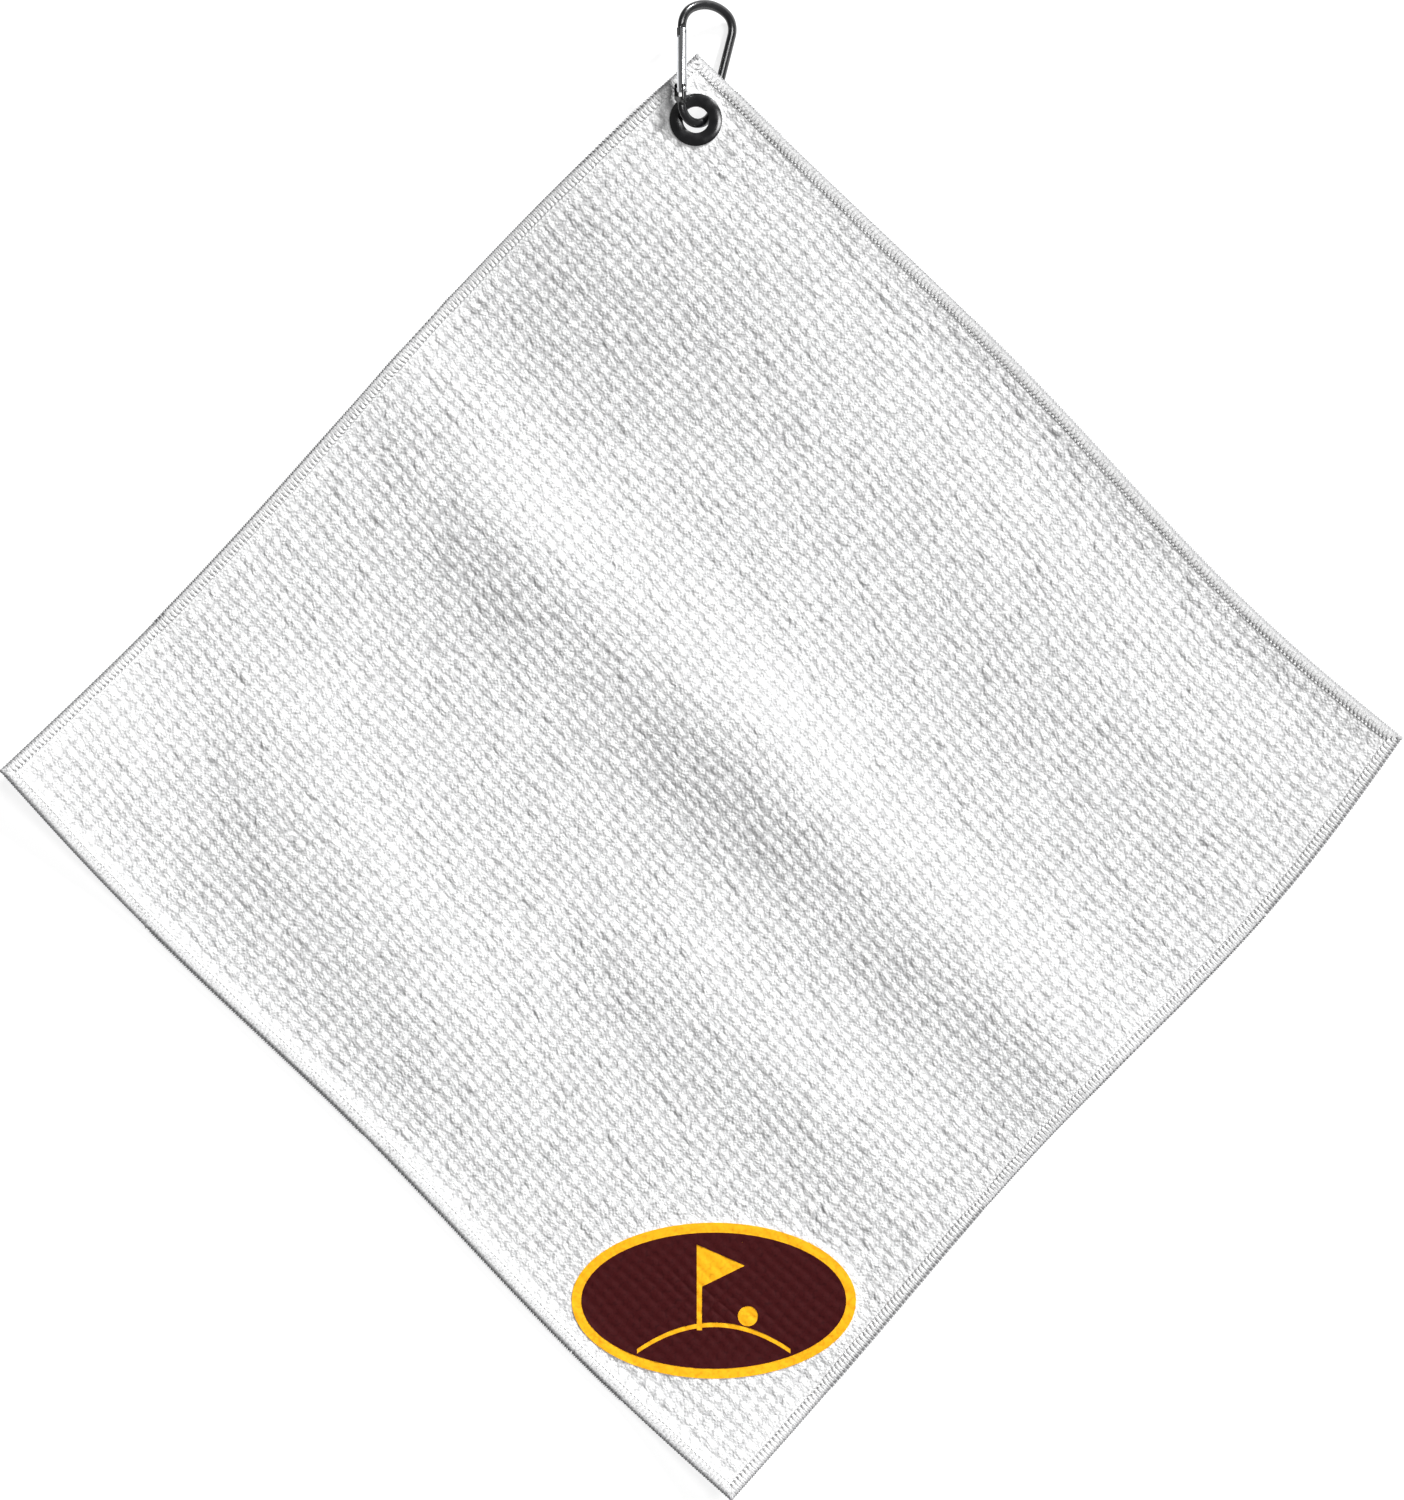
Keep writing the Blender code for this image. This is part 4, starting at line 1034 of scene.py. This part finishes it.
def place_on_weave(x, y):
    """The s and t of the cloth under a plan position, found by a few Newton steps."""
    target = np.stack([x, y], axis=-1)
    s = np.full(x.shape, 0.8)
    t = np.full(x.shape, 0.8)
    small = 1e-4
    for _ in range(8):
        here = lay(s, t)
        down = (lay(s + small, t) - here) / small
        across = (lay(s, t + small) - here) / small
        miss = target - here
        area = down[..., 0] * across[..., 1] - down[..., 1] * across[..., 0]
        s = s + (miss[..., 0] * across[..., 1] - miss[..., 1] * across[..., 0]) / area
        t = t + (down[..., 0] * miss[..., 1] - down[..., 1] * miss[..., 0]) / area
    return s, t


def film_rest(x, y):
    """Height of the pressed weave's face at a plan position."""
    s, t = place_on_weave(x, y)
    plan = np.stack([x, y], axis=-1)
    inset = CLOTH_INSET / TOWEL_SIDE
    relief = pebble((s - inset) / (1.0 - 2.0 * inset), (t - inset) / (1.0 - 2.0 * inset))
    free = weave_freedom(plan, s, t)
    rise = relief * (1.0 - 0.5 * PEBBLE_UNEVEN) * free + (1.0 - free)
    return middle_height(plan, s, t) + half_thickness(plan) - PEBBLE_DEPTH * (1.0 - rise)


def film(name, wide, high, lift, cutouts, finish):
    """An oval film: flat rings of points, its cut-outs taken out, then laid down on the weave."""
    share = np.linspace(1.0, 0.004, FILM_RINGS)[:, None]
    turn = 2.0 * math.pi * np.arange(FILM_STEPS)[None, :] / FILM_STEPS
    x = BADGE_AT[0] + wide / 2 * share * np.cos(turn)
    y = BADGE_AT[1] + high / 2 * share * np.sin(turn)
    over = np.stack([x, y, np.full(x.shape, FILM_THICK)], axis=-1)
    under = np.stack([x, y, np.zeros(x.shape)], axis=-1)[::-1]
    points = np.concatenate([under, over])
    piece = new_piece(name, points, ring_faces(2 * FILM_RINGS, FILM_STEPS), finish)
    face_outwards(piece)
    if cutouts:
        cut_with(piece, [flat_cutter(outline) for outline in cutouts])
    spots = np.zeros(len(piece.data.vertices) * 3)
    piece.data.vertices.foreach_get("co", spots)
    spots = spots.reshape(-1, 3)
    spots[:, 2] += film_rest(spots[:, 0], spots[:, 1]) + lift
    piece.data.vertices.foreach_set("co", spots.ravel())
    shade(piece, 50.0)
    piece.data.update()
    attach(piece, "towel")
    return piece


def flat_cutter(outline):
    """A cutter with the outline's shape, through the film's thickness."""
    outline = np.asarray(outline) + np.array(BADGE_AT)
    levels = [np.column_stack([outline, np.full(len(outline), z)]) for z in (-1 * MM, 1 * MM)]
    cutter = new_piece("cutter", np.concatenate(levels), ring_faces(2, len(outline)), None)
    face_outwards(cutter)
    return cutter


def film_finish(name, colour, pit_shade):
    """Printed vinyl film: an even colour with a satin skin, and painted shade darkening it in tiny pits."""
    made, nodes, links, shader = new_material(name)
    set_inputs(shader, {"Roughness": 0.55, "Specular IOR Level": 0.1})
    pile = add_group(nodes, links, FIBRE_PILE, {
        "Loops per metre": 1.0 / PIT_SIZE, "Fibres per metre": 1.0 / GRAIN_SIZE, "Loop share": 0.5})
    # Painted shade: the darker copy of the colour is painted into the pits between the cells.
    add_tone(nodes, links, shader, pile.outputs["Shade"], ((0.1, pit_shade), (0.5, colour)))
    add_bump(nodes, links, shader, pile.outputs["Height"], 0.35, 0.1 * MM)
    return made


pole_x = -0.06 * BADGE_WIDE
pole_head = 0.36 * BADGE_HIGH
flag_drop = 0.27 * BADGE_HIGH
pole_foot = -0.19 * BADGE_HIGH
pole_right = pole_x + POLE_WIDE
flag_outline = [(pole_x, pole_foot), (pole_right, pole_foot), (pole_right, pole_head - flag_drop),
                (pole_x + 0.17 * BADGE_WIDE, pole_head - flag_drop / 2), (pole_x, pole_head)]
ball_outline = arc((0.12 * BADGE_WIDE, -0.1 * BADGE_HIGH), 0.065 * BADGE_HIGH, 0.0, 2.0 * math.pi, 37)[:-1]
across = np.linspace(-1.0, 1.0, 41)
rise = -0.31 * BADGE_HIGH + 0.17 * BADGE_HIGH * (1.0 - across ** 2)
green_top = np.stack([across * 0.27 * BADGE_WIDE, rise], axis=1)
green_outline = np.concatenate([green_top, (green_top - np.array([0.0, GREEN_LINE]))[::-1]])

gold_film = film("badge_gold_film", BADGE_WIDE, BADGE_HIGH, FILM_LIFT, (),
                 film_finish("gold_transfer_film", GOLD, GOLD_PIT_SHADE))
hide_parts("emblem_base_film")
inner = 2 * BADGE_BORDER
above_gold = FILM_LIFT + FILM_THICK + 0.05 * MM
maroon_film = film("badge_maroon_film", BADGE_WIDE - inner, BADGE_HIGH - inner, above_gold,
                   (flag_outline, ball_outline, green_outline),
                   film_finish("maroon_transfer_film", MAROON, MAROON_PIT_SHADE))
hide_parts("emblem_top_film")


# ---- floor, lights and camera
# A plain white surface, soft daylight all round, a low key light from the upper right, a weaker and
# higher one from the right that fills its shadows, and a long lens straight above.

def floor_finish():
    """A bright white sheet that glows a little, so that shadows on it stay faint."""
    made, nodes, links, shader = new_material("white_floor")
    set_inputs(shader, {"Base Color": (0.4, 0.4, 0.4, 1.0), "Roughness": 1.0, "Specular IOR Level": 0.0,
                        "Emission Color": (1.0, 1.0, 1.0, 1.0), "Emission Strength": 0.78})
    return made


FLOOR_HALF = 3.0
floor = new_piece("studio_floor", [(-FLOOR_HALF, -FLOOR_HALF, 0), (FLOOR_HALF, -FLOOR_HALF, 0),
                                   (FLOOR_HALF, FLOOR_HALF, 0), (-FLOOR_HALF, FLOOR_HALF, 0)],
                  [[0, 1, 2, 3]], floor_finish())

SKY_LOW = 0.26
SKY_HIGH = 0.12
world = bpy.data.worlds.new("soft_daylight")
bpy.context.scene.world = world
world.use_nodes = True
sky_nodes, sky_links = world.node_tree.nodes, world.node_tree.links
direction = sky_nodes.new("ShaderNodeTexCoord")
split = sky_nodes.new("ShaderNodeSeparateXYZ")
brightness = sky_nodes.new("ShaderNodeMapRange")
set_inputs(brightness, {"To Min": SKY_LOW, "To Max": SKY_HIGH})
sky_nodes["Background"].inputs["Color"].default_value = (1.0, 1.0, 1.0, 1.0)
sky_links.new(direction.outputs["Generated"], split.inputs["Vector"])
sky_links.new(split.outputs["Z"], brightness.inputs["Value"])
sky_links.new(brightness.outputs["Result"], sky_nodes["Background"].inputs["Strength"])


def add_sun(name, energy, spread, height, turn):
    """A sun lamp: how wide it looks, how high it stands and its bearing, in degrees."""
    light = bpy.data.lights.new(name, "SUN")
    light.energy = energy
    light.angle = math.radians(spread)
    lamp = bpy.data.objects.new(name, light)
    lamp.rotation_euler = (0.0, math.pi / 2 - math.radians(height), math.radians(turn))
    bpy.context.scene.collection.objects.link(lamp)


add_sun("key", 4.95, 10.0, 27.0, 50.0)
add_sun("side", 1.3, 22.0, 56.0, 0.0)

LENS = 200.0
SENSOR = 36.0
VIEW_MARGIN = 1.0027
low_corner, high_corner = cad_box
view_high = (high_corner[1] - low_corner[1]) * VIEW_MARGIN
camera = bpy.data.cameras.new("camera")
camera.type = "PERSP"
camera.lens = LENS
camera.sensor_width = SENSOR
camera_object = bpy.data.objects.new("camera", camera)
camera_object.location = ((low_corner[0] + high_corner[0]) / 2, (low_corner[1] + high_corner[1]) / 2,
                          CLOTH_THICK + view_high * LENS / SENSOR)
bpy.context.scene.collection.objects.link(camera_object)
bpy.context.scene.camera = camera_object
bpy.context.scene.view_settings.view_transform = "Standard"
